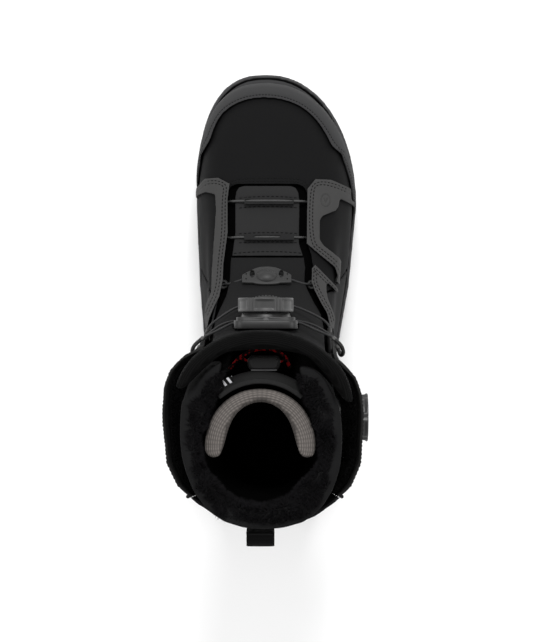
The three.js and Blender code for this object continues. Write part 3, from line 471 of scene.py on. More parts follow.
vamp = skin_of("vamp", "vamp_panel", 1.0, 60, 0.6)
medial_quarter = skin_of("medial_quarter", "medial_quarter_panel", 1.2, 40, 0.6)
lateral_quarter = skin_of("lateral_quarter", "lateral_quarter_panel", 1.2, 40, 0.6)
toe_cap = skin_of("toe_cap", "toe_cap_panel", 0.7, 70, 0.6)
heel_counter = skin_of("heel_counter", "heel_counter_panel", 0.9, 50, 0.6)
medial_stay = skin_of("medial_eyestay", "medial_stay_panel", 0.5, 30, 0.4)
lateral_stay_low = skin_of("lateral_eyestay_lower", "lateral_stay_low_panel", 0.5, 30, 0.4)
lateral_stay_high = skin_of("lateral_eyestay_upper", "lateral_stay_high_panel", 0.5, 30, 0.4)

CAP_TOP = [
    (52.3, 93), (45, 98.5), (41, 106), (34, 116.8), (24, 125.6), (12, 130.6), (-2, 132.4), (-15, 130.6),
    (-25, 126), (-31.4, 120.5), (-36, 112), (-39, 103.5), (-42, 98.5), (-46.2, 92.5),
]
CAP_LATERAL = [(96, 79), (90, 75), (84, 71.5), (76, 69), (67, 64), (58, 56), (50, 44), (45, 33)]
CAP_MEDIAL = [(95, 75), (92.5, 69.5), (86, 67), (80, 63), (75, 55), (71, 44), (67, 33)]
THROAT_FRONT = [
    (-27.6, 64), (-27.2, 70), (-23.5, 74), (-16, 75), (2, 75.2), (20, 75), (25, 74), (28.4, 70.5), (29, 64),
]
THROAT_FRONT_INNER = [
    (-25.9, 69.5), (-22.6, 72.3), (-16, 73), (2, 73.2), (19.5, 73), (23.8, 72.2), (26.8, 69.5),
]
STAY_INNER = [
    (-60, 70.5), (-48, 72), (-43, 76), (-33, 76), (-25, 71.5), (-26.3, 61), (-26, 38), (-28.6, 17), (-29, 5),
    (-31, -5.5), (-34.5, -13), (-37.3, -20),
]
STAY_LOW = [(70, 66), (58.5, 70), (44, 75), (33, 75), (27.3, 68), (26.5, 30), (36, 22), (46, 14), (47.8, 8.5)]
STAY_HIGH = [(47.6, 0.6), (32.5, 16), (30, 12), (29.5, 4), (31.5, -1.5), (35.6, -10), (39.7, -17), (41.5, -25)]
COUNTER_EDGE = [(-70, 33), (-84, 60), (-100, 80), (-112, 92), (-120, 130), (-124, 147)]
for name, line, view in (
    ("top", beside(CAP_TOP, -2.9), "above"),
    ("lateral", beside(CAP_LATERAL, 2.9), "outer"),
    ("medial", beside(CAP_MEDIAL, 2.9), "inner"),
):
    sew(f"toe_cap_stitches_{name}", toe_cap, [line], view, pitch=2.2, long=1.4)
sew("vamp_stitches", vamp, [THROAT_FRONT, THROAT_FRONT_INNER])
sew("medial_stay_stitches", medial_stay, [beside(STAY_INNER, -2.1), beside(STAY_INNER, -4.2)])
sew("lateral_stay_low_stitches", lateral_stay_low, [beside(STAY_LOW, 2.1), beside(STAY_LOW, 4.2)])
sew("lateral_stay_high_stitches", lateral_stay_high, [beside(STAY_HIGH, 1.7), beside(STAY_HIGH, 3.5)])
for side, view in (("medial", "inner"), ("lateral", "outer")):
    sew(f"{side}_counter_stitches", heel_counter, [beside(COUNTER_EDGE, 2.4), beside(COUNTER_EDGE, 4.6)], view)

# A plain oval ring with a chevron in it, pressed into the front of the outer stay.
oval = [Vector((40.2 + 3.1 * math.cos(k / 8), 60 + 4.3 * math.sin(k / 8))) for k in range(51)]
chevron = spaced([Vector((39, 61.4)), Vector((40.2, 59)), Vector((41.4, 61.4))], 0.3)
marks = thrown(lateral_stay_low, oval + chevron, "above")
press(lateral_stay_low, [hit[0] for hit in marks if hit], 0.75 * MM, 0.45 * MM)

for piece, node, material, slot in (
    (vamp, "vamp", coated, "black_textile"),
    (medial_quarter, "medial_quarter", dark_leather, "dark_leather"),
    (lateral_quarter, "lateral_quarter", dark_leather, "dark_leather"),
    (toe_cap, "toe_cap", cap_rubber, "outsole_rubber"),
    (heel_counter, "heel_counter", cap_rubber, "dark_leather"),
    (medial_stay, "medial_eyestay", grey_leather, "grey_leather"),
    (lateral_stay_low, "lateral_eyestay_lower", grey_leather, "grey_leather"),
    (lateral_stay_high, "lateral_eyestay_upper", grey_leather, "grey_leather"),
):
    dress(piece, material, "shell", node, slot=slot)


# Lower tongue: a padded textile panel in the throat with two raised tunnels for the cable, each sewn down
# on both sides, and behind it the stretch gaiter that keeps the snow out of the gaps beside the tongue.
tongue_cloth = grain_finish("tongue_cloth", (0.016, 0.016, 0.0162), 1.3, 0.85, 0.5 * MM, 0.03 * MM, 0.05, 0.4)
tunnel_cloth = grain_finish("tunnel_cloth", (0.0125, 0.0125, 0.0127), 1.3, 0.85, 0.5 * MM, 0.03 * MM, 0.05, 0.5)
gaiter_cloth = grain_finish("gaiter_cloth", grey(0.0008), 1.4, 0.9, 0.5 * MM, 0.03 * MM, 0.02)
lower_tongue = skin_of("lower_tongue", "lower_tongue_panel", 0.8, 30, 0.5)
rows = [
    [(-18.5, y - bow), (-8, y - bow * 0.1), (2, y), (12, y - bow * 0.1), (22.5, y - bow)]
    for y, bow in ((62.6, 1.2), (55.6, 1.0), (37.6, 0.8), (31.2, 0.6))
]
hem = [(-22, 23.4), (-10, 24.4), (2, 24.7), (14, 24.4), (25, 23.4)]
sew("lower_tongue_stitches", lower_tongue, [*rows, hem], pitch=3.1, long=2.1, thick=0.85)
dress(lower_tongue, tongue_cloth, "shell", "lower_tongue", slot="black_textile")
for end in ("front", "rear"):
    tunnel = skin_of(f"cable_tunnel_{end}", f"{end}_tunnel", 0.4, 20, 0.3)
    dress(tunnel, tunnel_cloth, "shell", f"cable_tunnel_{end}", slot="black_textile")
gaiter = skin_of("throat_gaiter", "snow_gaiter", 0.7, 30, 0.4)
dress(gaiter, gaiter_cloth, "shell", "throat_gaiter", slot="black_textile")


# Cuff: two stiff leather wings that lean outwards, each lined with short black fleece, and a spine panel
# behind them. The wings' rims are rounded and sewn, and their pile shows from above.
def sliver_finish(name, dark, light, size):
    """Hair and pile: painted shade in the clumps' hollows and towards the roots, and a painted highlight at the
    tips.
    """
    made = Finish(name, dark, 0.9, Specular_IOR_Level=0.12)
    clumps = made.noise(made.spot(), 1 / size, 3)
    # The roots and clump hollows get painted shade, the tips a painted highlight.
    made.feed("Base Color", made.shades((made.mark("tip") * 0.6 + clumps * 0.6) ** 1.6, dark, light))
    return made.material


def pile(name, base, amount, length, wide, lean, where, material, body, slot, seed):
    """Hairs of three faces round, rooted on the base where it is allowed, leaning together in clumps."""
    random = np.random.default_rng(seed)
    mesh = base.data
    mesh.calc_loop_triangles()
    corners = np.array([tuple(triangle.vertices) for triangle in mesh.loop_triangles])
    points = points_of(base)
    normals = points_of(base, "normal")
    sides = points[corners]
    area = np.linalg.norm(np.cross(sides[:, 1] - sides[:, 0], sides[:, 2] - sides[:, 0]), axis=1)
    allowed = where(sides.mean(axis=1) / MM, normals[corners].mean(axis=1))
    chance = area * allowed
    chosen = random.choice(len(corners), amount, p=chance / chance.sum())
    share = random.dirichlet((1, 1, 1), amount)
    roots = np.einsum("ij,ijk->ik", share, sides[chosen])
    up = np.einsum("ij,ijk->ik", share, normals[corners[chosen]])
    drift = np.array([noise.noise_vector(Vector(root) * 110) for root in roots])
    loose = random.normal(0, 0.35, (amount, 3))
    heading = up * (1 - lean) + drift * lean * 2.4 + loose * 0.5
    heading /= np.linalg.norm(heading, axis=1, keepdims=True)
    tall = length * MM * random.uniform(0.65, 1.2, amount)[:, None]
    across = np.cross(heading, random.normal(0, 1, (amount, 3)))
    across /= np.linalg.norm(across, axis=1, keepdims=True)
    other = np.cross(heading, across)
    bend = drift * tall * 0.5
    layers = []
    for rise, thick in ((-0.15, 1.0), (0.5, 0.8)):
        for turn in range(3):
            angle = 2 * math.pi * turn / 3
            reach = (across * math.cos(angle) + other * math.sin(angle)) * wide * MM / 2 * thick
            layers.append(roots + heading * tall * rise + bend * max(rise, 0) ** 2 + reach)
    layers.append(roots + heading * tall + bend)
    hairs = np.stack(layers, axis=1)
    pattern = [(0, 1, 4, 3), (1, 2, 5, 4), (2, 0, 3, 5), (3, 4, 6), (4, 5, 6), (5, 3, 6), (2, 1, 0)]
    faces = [tuple(7 * hair + corner for corner in face) for hair in range(amount) for face in pattern]
    made = bpy.data.meshes.new(name)
    made.from_pydata(hairs.reshape(-1, 3).tolist(), [], faces)
    made.shade_smooth()
    tip = made.attributes.new("tip", "FLOAT", "POINT")
    tip.data.foreach_set("value", np.tile(np.array([0, 0, 0, 0.5, 0.5, 0.5, 1], np.float32), amount))
    piece = bpy.data.objects.new(name, made)
    scene.collection.objects.link(piece)
    return dress(piece, material, body, slot=slot)


wing_leather = grain_finish("wing_leather", (0.0105, 0.0104, 0.0102), 1.4, 0.85, 0.9 * MM, 0.05 * MM, 0.05, 0.7)
fleece_base = grain_finish("fleece_base", grey(0.0014), 1.4, 1.0, 0.8 * MM, 0.1 * MM, 0.02)
# Its light colour is the painted highlight at the hair tips.
fleece_hair = sliver_finish("fleece_hair", grey(0.0008), (0.006, 0.006, 0.0062), 4 * MM)
RIM_ROW = [(-22, 186), (-26, 195), (-33, 211), (-38, 222), (-44, 231), (-60, 236.5), (-126, 236.5)]
for side, view, edge_x in (("medial", "inner", -1), ("lateral", "outer", 1)):
    wing = skin_of(f"{side}_cuff_wing", f"{side}_wing_panel", 0.9, 50, 0.6)
    sew(f"{side}_wing_stitches", wing, [RIM_ROW, beside(RIM_ROW, -2.2)], view)
    dress(wing, wing_leather, "shell", f"{side}_cuff_wing", slot="dark_leather")
    fleece = skin_of(f"{side}_fleece", f"{side}_fleece_lining", 0.8, 20, 0.4)
    dress(fleece, fleece_base, "shell", f"{side}_fleece", slot="fur")
    inwards = lambda place, normal, edge_x=edge_x: (normal[:, 0] * edge_x < -0.3) | (normal[:, 2] > 0.5)
    pile(f"{side}_fleece_pile", fleece, 5200, 1.5, 0.34, 0.35, inwards, fleece_hair, "shell", "fur", 11)
rear_cuff = skin_of("rear_cuff", "spine_panel", 1.0, 50, 0.6)
spine_rows = [[(-26, 158), (-27, 200), (-25, 236)], [(19, 158), (20, 200), (18, 236)]]
sew("spine_stitches", rear_cuff, spine_rows, "behind")
dress(rear_cuff, dark_leather, "shell", "rear_cuff", slot="dark_leather")


# Upper tongue: the panel that carries the dial and folds forward at the hem, with two moulded guides that
# turn the cables across it. The front guide is a crescent with two eyes, the rear one a toothed arch.
def choose(piece, test, kind="FACE"):
    """Opens a piece for editing with only the faces or edges that pass the test selected."""
    pick(piece)
    bpy.ops.object.mode_set(mode="EDIT")
    bpy.ops.mesh.select_mode(type=kind)
    bpy.ops.mesh.select_all(action="DESELECT")
    mesh = bmesh.from_edit_mesh(piece.data)
    for part in mesh.faces if kind == "FACE" else mesh.edges:
        part.select_set(bool(test(part)))
    bmesh.update_edit_mesh(piece.data)


def done():
    bpy.ops.object.mode_set(mode="OBJECT")


def slab(name, outline, thick):
    """A flat plate with this outline, standing thick above its bottom face."""
    mesh = bpy.data.meshes.new(name)
    mesh.from_pydata([(x * MM, y * MM, 0) for x, y in outline], [], [tuple(range(len(outline)))])
    piece = bpy.data.objects.new(name, mesh)
    scene.collection.objects.link(piece)
    choose(piece, lambda face: True)
    bpy.ops.mesh.extrude_region_move(TRANSFORM_OT_translate={"value": (0, 0, thick * MM)})
    bpy.ops.mesh.select_all(action="SELECT")
    bpy.ops.mesh.normals_make_consistent(inside=False)
    done()
    return piece


def round_edges(piece, width, segments=2, limit=35):
    settle(piece, "BEVEL", width=width * MM, segments=segments, limit_method="ANGLE",
           angle_limit=math.radians(limit), harden_normals=False)
    pick(piece)
    bpy.ops.object.shade_smooth_by_angle(angle=math.radians(45))


def take_away(piece, tools):
    """Cuts the tools out of the piece and throws them away."""
    for tool in tools:
        settle(piece, "BOOLEAN", operation="DIFFERENCE", solver="EXACT", object=tool)
        bpy.data.objects.remove(tool)


def arc_of(centre, radii, start, end, steps):
    turns = [math.radians(start + (end - start) * step / steps) for step in range(steps + 1)]
    return [(centre[0] + radii[0] * math.cos(turn), centre[1] + radii[1] * math.sin(turn)) for turn in turns]


UPPER_CLOTH_TONE = (0.0085, 0.0085, 0.0087)
upper_cloth = grain_finish("upper_tongue_cloth", UPPER_CLOTH_TONE, 1.3, 0.85, 0.45 * MM, 0.03 * MM, 0.05, 0.4)
dark_plastic = grain_finish("dark_plastic", grey(0.017), 1.15, 0.5, 0.35 * MM, 0.008 * MM, 0.3)
upper_tongue = skin_of("upper_tongue", "upper_tongue_panel", 0.9, 50, 0.6)
dress(upper_tongue, upper_cloth, "tongue", "upper_tongue", slot="black_textile")

front_guide = slab("front_guide", [
    (-16.3, -6.6), (-16.2, 0), (-13, 2.4), *arc_of((0, 1), (11.5, 6.2), 155, 25, 12), (13, 2.4), (16.2, 0),
    (16.3, -6.6), *arc_of((0, -6.6), (9, 1.6), -10, -170, 8),
], 1.8)
round_edges(front_guide, 0.45)
bridge = add_stock("uv_sphere", "front_guide_bridge", segments=32, ring_count=16, radius=1)
bridge.data.transform(Matrix.Diagonal((6.9 * MM, 5.4 * MM, 3.6 * MM, 1)))
choose(bridge, lambda face: True)
bpy.ops.mesh.bisect(plane_co=(0, 0, 0), plane_no=(0, 0, 1), clear_inner=True, use_fill=True)
done()
bridge.data.transform(Matrix.Translation((0, -1.2 * MM, 0.9 * MM)))
RIB_SIZE = Vector((0.7, 3, 1.4)) * MM
ribs = [
    add_stock("cube", "rib", size=1, location=Vector((x, 1.6, 4.1)) * MM, scale=RIB_SIZE)
    for x in (-3.4, -1.7, 0, 1.7, 3.4)
]
take_away(bridge, ribs)
holes = []
for x in (-9.6, 9.6):
    eye = add_stock("cylinder", "eye", vertices=24, radius=1, depth=12 * MM)
    oval_eye = Matrix.Diagonal((1.7 * MM, 3.2 * MM, 1, 1))
    eye.data.transform(Matrix.Translation(Vector((x, 0.6, 2)) * MM) @ oval_eye)
    holes.append(eye)
for x in (-13.6, 13.6):
    for y in (-3.8, 0.4):
        place = Vector((x, y, 0)) * MM
        holes.append(add_stock("cylinder", "dot", vertices=12, radius=0.55 * MM, depth=8 * MM, location=place))
take_away(front_guide, holes)
round_edges(bridge, 0.2, 1)
GUIDE_PLACE = Matrix.Translation(Vector((0, 7.7, 142.5)) * MM) @ Matrix.Rotation(math.radians(-39), 4, "X")
for part, replaced in ((front_guide, ["tongue_guide_front"]), (bridge, [])):
    part.data.transform(GUIDE_PLACE)
    dress(part, dark_plastic, "tongue", *replaced, slot="dark_plastic")

ARCH_CENTRE = (0, -12)
teeth = []
for step in range(13):
    start = 152 - step * 9.6
    teeth += arc_of(ARCH_CENTRE, (14, 14), start, start - 5.6, 2)
    teeth += arc_of(ARCH_CENTRE, (12.9, 12.9), start - 5.9, start - 9.3, 1)
rear_guide = slab("rear_guide", [*teeth, *arc_of(ARCH_CENTRE, (8.5, 8.5), 28, 152, 10)], 4)
round_edges(rear_guide, 0.25, 1)
ARCH_PLACE = Matrix.Translation(Vector((0, -9.3, 166.5)) * MM) @ Matrix.Rotation(math.radians(-58), 4, "X")
rear_guide.data.transform(ARCH_PLACE)
dress(rear_guide, dark_plastic, "tongue", "tongue_guide_rear", slot="dark_plastic")


# Tongue collar: a stuffed roll of fine ribbed knit round the top of the tongue. The ribs follow the roll.
# Its stuffing swells it, so it starts a little thin and is blown up like a cushion.
def puff(piece, voxel, thin, most, pressure=4.0):
    """Stuffs a piece: it starts thinner, swells under pressure, and no point moves further than most."""
    settle(piece, "REMESH", mode="VOXEL", voxel_size=voxel * MM)
    ease(piece, 12, 1.2 * MM)
    start = points_of(piece)
    set_points(piece, start - points_of(piece, "normal") * thin * MM)
    start = points_of(piece)
    cloth = piece.modifiers.new("stuffing", "CLOTH")
    cloth.settings.quality = 4
    cloth.settings.mass = 0.25
    cloth.settings.tension_stiffness = 18
    cloth.settings.compression_stiffness = 18
    cloth.settings.bending_stiffness = 1.5
    cloth.settings.use_pressure = True
    cloth.settings.uniform_pressure_force = pressure
    cloth.settings.effector_weights.gravity = 0
    cloth.point_cache.frame_end = 20
    for step in range(1, 21):
        scene.frame_set(step)
    swollen = piece.evaluated_get(bpy.context.evaluated_depsgraph_get())
    moved = points_of(swollen) - start
    moved -= moved.mean(axis=0)
    piece.modifiers.remove(cloth)
    far = np.maximum(np.linalg.norm(moved, axis=1, keepdims=True), 1e-12)
    set_points(piece, start + moved * np.minimum(1, most * MM / far))
    scene.frame_set(1)
    ease(piece, 3, 0.4 * MM)
    settle(piece, "SUBSURF", levels=1, render_levels=1)
    pick(piece)
    bpy.ops.object.shade_smooth()


def knit_finish(name, dark, light, centre, squash, pitch, cross, depth):
    """Knit with ribs that run round a centre; cross is how strongly they are cut into squares."""
    made = Finish(name, dark, 0.95, Specular_IOR_Level=0.05)
    here = made.spot(shift=(-centre[0] * MM, -centre[1] * MM, 0))
    x = here.axis("X")
    y = here.axis("Y") * squash
    reach = (x * x + y * y) ** 0.5
    turn = x.sum("ARCTAN2", y, x)
    ribs = ((reach - here.axis("Z") * 0.6) / (pitch * MM)).swing()
    rungs = (turn * (42 / pitch / (2 * math.pi) * 2.2)).swing()
    cell = ribs * (1 - cross) + ribs ** 0.6 * rungs ** 0.6 * cross
    fuzz = made.noise(made.spot(), 1800, 3)
    cloud = made.noise(made.spot(), 90, 3)
    made.feed("Base Color", made.shades(cell * 0.7 + fuzz * 0.2 + cloud * 0.25, dark, light))
    made.relief(cell * 0.8 + fuzz * 0.2, depth)
    return made.material


collar_knit = knit_finish("collar_knit", grey(0.0013), grey(0.0042), (-2, -72), 1.2, 1.3, 0.0, 0.25 * MM)
collar = copy_node("tongue_collar", "collar_roll")
puff(collar, 3.0, 0.6, 2.2, 9.0)
dress(collar, collar_knit, "tongue", "tongue_collar", slot="collar_knit")


# Dials: a moulded housing, a knob with six gripping pads round it and a dished face, and the steel screw
# that holds them. Spool and drive disc turn inside and stay as they are. Both dials are made alike.
def plate_finish(name, colour, roughness, shine):
    made = Finish(name, colour, roughness, Specular_IOR_Level=shine)
    spot = made.spot()
    haze = made.noise(spot, 160, 3)
    fine = made.noise(spot, 4200, 2)
    made.feed("Base Color", made.shades(haze, colour, tuple(value * 1.25 for value in colour)))
    made.feed("Roughness", roughness + (haze - 0.5) * 0.15)
    return made.relief(fine, 0.012 * MM).material


knob_plastic = plate_finish("knob_plastic", grey(0.027), 0.42, 0.4)
housing_plastic = plate_finish("housing_plastic", grey(0.0085), 0.42, 0.4)
winder_plastic = plate_finish("winder_plastic", grey(0.02), 0.5, 0.3)
steel = Finish("brushed_steel", (0.4, 0.4, 0.41), 0.35, Metallic=1.0)
steel.feed("Roughness", steel.noise(steel.spot(scale=(1, 30, 1)), 900, 2) * 0.2 + 0.28)
KNOB_LOW, KNOB_HIGH = 10.8, 19.8


def dial_knob(name, radius):
    """The knob along its own Z axis: six pads with sunk middles, a dished face and a bore for the screw."""
    knob = add_stock("cylinder", name, vertices=120, radius=radius * MM, depth=(KNOB_HIGH - KNOB_LOW) * MM,
                     location=(0, 0, (KNOB_LOW + KNOB_HIGH) / 2 * MM), end_fill_type="NGON")
    for end, dish in ((1, 4), (-1, 0)):
        choose(knob, lambda face: face.normal.z * end > 0.9 and face.calc_area() > 2e-4)
        bpy.ops.mesh.inset(thickness=radius * 0.24 * MM, depth=0)
        bpy.ops.mesh.inset(thickness=radius * 0.34 * MM, depth=-dish * MM)
        bpy.ops.mesh.inset(thickness=(radius * 0.42 - 2.3) * MM, depth=0)
        done()
    bore = 2.6 * MM
    choose(knob, lambda face: abs(face.normal.z) > 0.9 and face.calc_center_median().xy.length < 1e-4
           and max(vertex.co.xy.length for vertex in face.verts) < bore)
    bpy.ops.mesh.bridge_edge_loops()
    done()
    round_edges(knob, 0.5, 2, 40)
    rim = 0.9 * radius * MM
    choose(knob, lambda edge: edge.calc_length() > 5 * MM and edge.verts[0].co.xy.length > rim, "EDGE")
    bpy.ops.mesh.subdivide(number_cuts=12)
    done()
    points = points_of(knob)
    middle = np.abs((np.degrees(np.arctan2(points[:, 1], points[:, 0])) - 60) % 60 - 30)
    level = np.abs(points[:, 2] / MM - (KNOB_LOW + KNOB_HIGH) / 2)
    within = lambda value, edge, soft: 1 / (1 + np.exp(np.clip((value - edge) / soft, -30, 30)))
    sunk = 0.75 * within(middle, 18.5, 0.5) * within(level, 2.9, 0.12) + 0.9 * within(30 - middle, 4, 0.5)
    side = np.hypot(points[:, 0], points[:, 1]) > rim
    points[:, :2] *= 1 - (sunk * side / radius)[:, None]
    set_points(knob, points)
    return knob


DIALS = {
    "tongue_dial": (17.75, Vector((-0.5, -27, 195)), Matrix.Rotation(-math.pi / 2, 4, "X"), "tongue"),
    "side_dial": (15.5, Vector((45.2, -84, 184)), Matrix.Rotation(math.pi / 2, 4, "Y"), "side"),
}
for dial, (radius, place, turn, winder) in DIALS.items():
    placing = Matrix.Translation(place * MM) @ turn
    knob = dial_knob(f"{dial}_turn_knob", radius)
    knob.data.transform(placing @ Matrix.Rotation(math.radians(-2.5), 4, "Z"))
    dress(knob, knob_plastic, f"{winder}_knob", f"{dial}_knob", f"{dial}_grip_ring", slot="dark_plastic")
    shell_part = copy_node(f"{dial}_housing", f"{dial}_base")
    round_edges(shell_part, 0.3, 2, 50)
    seat = "tongue" if winder == "tongue" else "shell"
    dress(shell_part, housing_plastic, seat, f"{dial}_housing", slot="dark_plastic")
    for part, finish in (("spool", winder_plastic), ("drive_disc", steel.material), ("screw", steel.material)):
        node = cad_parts[f"{dial}_{part}"]
        node.data.materials.clear()
        node.data.materials.append(finish)


# Cables: two thin braided cables under tension. One runs down both sides of the lacing and back to the
# side dial, the other from the tongue dial round the wings. Where they cross to the tongue they are attached to
# no body.
def braid_finish(name, dark, light, scale):
    made = Finish(name, dark, 0.55, Specular_IOR_Level=0.25)
    spot = made.spot()
    weave = made.cells(spot, scale)
    made.feed("Base Color", made.shades(weave * 0.8 + made.noise(spot, scale * 0.4, 2) * 0.4, dark, light))
    return made.relief(weave, 0.1 * MM).material


def strand(name, route, radius, material, body, *replaced, slot="cable", turn=None):
    """A round cable on a smooth curve through the route; if turn is given, the cable is baked in place and
    attached to no body, and the two places in turn are not used.
    """
    points = [Vector(point) for point in route]
    fine = []
    padded = [points[0] * 2 - points[1], *points, points[-1] * 2 - points[-2]]
    for a, b, c, d in zip(padded, padded[1:], padded[2:], padded[3:]):
        for step in range(6):
            t = step / 6
            bend = (2 * a - 5 * b + 4 * c - d) * t * t + (3 * b - a - 3 * c + d) * t ** 3
            fine.append(0.5 * (2 * b + (c - a) * t + bend))
    fine.append(points[-1])
    curve = bpy.data.curves.new(name, "CURVE")
    curve.dimensions = "3D"
    curve.bevel_depth = radius * MM
    curve.bevel_resolution = 3
    curve.use_fill_caps = True
    spline = curve.splines.new("POLY")
    spline.points.add(len(fine) - 1)
    for point, place in zip(spline.points, fine):
        point.co = (*(place * MM), 1)
    piece = bpy.data.objects.new(name, curve)
    scene.collection.objects.link(piece)
    pick(piece)
    bpy.ops.object.convert(target="MESH")
    piece = bpy.context.object
    piece.name = piece.data.name = name
    piece.data.shade_smooth()
    piece.data.materials.clear()
    piece.data.materials.append(material)
    if turn:
        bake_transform(piece)
    else:
        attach(piece, body)
    if replaced:
        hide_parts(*replaced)
    return piece


cable_braid = braid_finish("cable_braid", grey(0.008), (0.024, 0.024, 0.025), 2600)
# A lighter copy of the same braid: painted light on the lower run of the instep cable.
painted_lit_braid = braid_finish("lit_cable", grey(0.022), grey(0.055), 2600)
CABLE_RADIUS = 0.75
INSTEP_ROUTE = [
    (44.6, -78, 182), (43, -66, 182), (41, -45, 184), (40.2, -33, 187), (40.5, -26.8, 188.5), (36, -21, 183),
    (22, -14, 176.5), (10, -10.6, 172.4), (0, -7.9, 168.2), (-10, -10.6, 172.4), (-21, -14, 176.5),
    (-33, -22, 184),
    (-37.5, -27, 189), (-38.3, -33, 187), (-38, -34, 175), (-35.5, -22, 158), (-33, -8, 144), (-31, 1, 136),
    (-28.5, 2.4, 135.5), (-23, 3.2, 138.5), (-12, 6.7, 141.9), (0, 9.7, 142.9), (12, 6.7, 141.9),
    (23, 3.2, 138.5),
    (29.5, 2.4, 135), (33, 6, 127.5), (34.5, 20, 115.5), (31, 31, 112), (27, 34, 114), (20, 34.3, 120.9),
    (0, 34.3, 125.2), (-20, 34.3, 121.4), (-26, 34.3, 115), (-30, 38, 109.5), (-31.5, 48, 105.5),
    (-29.5, 57, 102.5), (-26, 59, 104.6), (-20, 59.2, 110.4), (0, 59.2, 115.4), (20, 59.2, 110.8),
    (26.5, 59, 105),
    (31, 57, 99.5), (36, 48, 95), (39.5, 30, 98), (40.5, 5, 106), (41.3, -25, 125), (42.5, -55, 150),
    (43.8, -72, 168), (44.6, -78, 178.5),
]
for name, first, last, turn in (
    ("upper_lateral", 0, 9, ((38, -23.5, 186), (14, -11.8, 174))),
    ("upper_medial", 8, 14, ((-35, -24.5, 187), (-13, -11.8, 174))),
    ("medial_run", 13, 19, None),
    ("front_medial", 18, 22, ((-27, 2.6, 136.5), (-13, 6.4, 141.5))),
    ("front_lateral", 21, 25, ((28, 2.6, 136), (13, 6.4, 141.5))),
    ("lower", 24, None, None),
):
    finish = painted_lit_braid if name == "lower" else cable_braid
    body = "tongue" if turn else "shell"
    replaced = ["instep_cable"] if name == "upper_lateral" else []
    strand(f"instep_cable_{name}", INSTEP_ROUTE[first:last], CABLE_RADIUS, finish, body, *replaced, turn=turn)
CUFF_ROUTE = [
    (-14, -23, 197.5), (-21, -23.2, 197.5), (-30, -27.5, 202), (-40, -32.5, 208), (-45.5, -37.5, 211),
    (-47, -42, 209), (-45, -43.5, 203), (-42.5, -38, 199), (-39, -32, 197), (-30, -25, 190), (-21, -22, 185),
    (-12, -21.8, 181), (0, -21.8, 179.6), (11, -21.8, 181), (20, -22, 185), (31, -25, 190), (42, -32, 197),
    (45, -38, 199), (47, -43.5, 203), (48.5, -42, 209), (47, -37.5, 211), (42, -32.5, 208),
    (31, -27.5, 202), (21, -23.2, 197.5), (13, -23, 197.5),
]
MEDIAL_TURN = ((-42, -34, 203), (-21, -22.6, 195))
LATERAL_TURN = ((43.5, -34, 203), (21, -22.6, 195))
MEDIAL_CUFF, LATERAL_CUFF = CUFF_ROUTE[:13], CUFF_ROUTE[12:]
strand("cuff_cable_medial", MEDIAL_CUFF, CABLE_RADIUS, cable_braid, "tongue", "cuff_cable", turn=MEDIAL_TURN)
strand("cuff_cable_lateral", LATERAL_CUFF, CABLE_RADIUS, cable_braid, "tongue", turn=LATERAL_TURN)

# Sleeves of webbing hold the cables at the wings, with a steel clip each, and small eyelets at the stays.
webbing = braid_finish("black_webbing", grey(0.0025), grey(0.009), 1500)
clip_steel = plate_finish("dark_clip", (0.032, 0.031, 0.03), 0.4, 0.5)
for name, route in {
    "medial_wing_sleeve": CUFF_ROUTE[3:8], "lateral_wing_sleeve": CUFF_ROUTE[17:22],
    "medial_stay_sleeve": INSTEP_ROUTE[12:15], "lateral_stay_sleeve": INSTEP_ROUTE[2:5],
}.items():
    strand(name, route, 1.25, webbing, "shell", slot="black_textile")
    for end, (tip, inner) in enumerate(((route[0], route[1]), (route[-1], route[-2]))):
        tip = Vector(tip)
        along = (Vector(inner) - tip).normalized()
        clip = [tip, tip + along * 1.2, tip + along * 2.4]
        strand(f"{name}_clip_{end + 1}", clip, 1.45, clip_steel, "shell", slot="dark_plastic")

# Webbing piping under the seams between the wings and the spine.
SEAM_Y = -130.8
for side, view in (("medial", "inner"), ("lateral", "outer")):
    wing = scene.objects[f"{side}_wing_panel"]
    landed = thrown(wing, [(-129, z) for z in range(153, 240, 6)], view)
    sunk = [hit[0] / MM - hit[1] * 1.2 for hit in landed if hit]
    seam = [(place.x, SEAM_Y, place.z) for place in sunk]
    strand(f"{side}_seam_piping", seam, 1.2, webbing, "shell", slot="black_textile")

eyelet_plastic = plate_finish("eyelet_plastic", grey(0.005), 0.5, 0.3)
EYELET = {"major_segments": 28, "minor_segments": 10, "major_radius": 2.3 * MM, "minor_radius": 0.85 * MM}
for name, place, facing in (
    ("medial_eyelet", (-28.6, 2.3, 136.3), (0.35, 0.5, 0.8)),
    ("lateral_eyelet", (29.8, 2.2, 135.9), (-0.35, 0.5, 0.8)),
):
    eyelet = add_stock("torus", name, **EYELET)
    turned = Vector(facing).to_track_quat("Z", "Y").to_matrix().to_4x4()
    eyelet.data.transform(Matrix.Translation(Vector(place) * MM) @ turned @ Matrix.Diagonal((1, 1.25, 0.8, 1)))
    eyelet.data.shade_smooth()
    dress(eyelet, eyelet_plastic, "shell", slot="dark_plastic")


# Heel loop: a strap of black webbing folded double and sewn to the spine, for pulling the boot on.
def webbing_finish(name, dark, light, pitch):
    made = Finish(name, dark, 0.85, Specular_IOR_Level=0.08)
    here = made.spot()
    ribs = (here.axis("Z") / (pitch * MM)).swing() * 0.6 + (here.axis("Y") / (pitch * MM)).swing() * 0.4
    threads = (here.axis("X") / (pitch * 0.7 * MM)).swing()
    fuzz = made.noise(here, 1500, 3)
    made.feed("Base Color", made.shades(ribs * threads * 0.8 + fuzz * 0.3, dark, light))
    return made.relief(ribs * threads * 0.8 + fuzz * 0.2, 0.15 * MM).material


heel_loop = skin_of("heel_loop", "heel_pull_loop", 0.45, 20, 0.35)
loop_webbing = webbing_finish("loop_webbing", grey(0.0014), grey(0.0048), 1.1)
dress(heel_loop, loop_webbing, "heel_loop", "heel_loop", slot="black_textile")


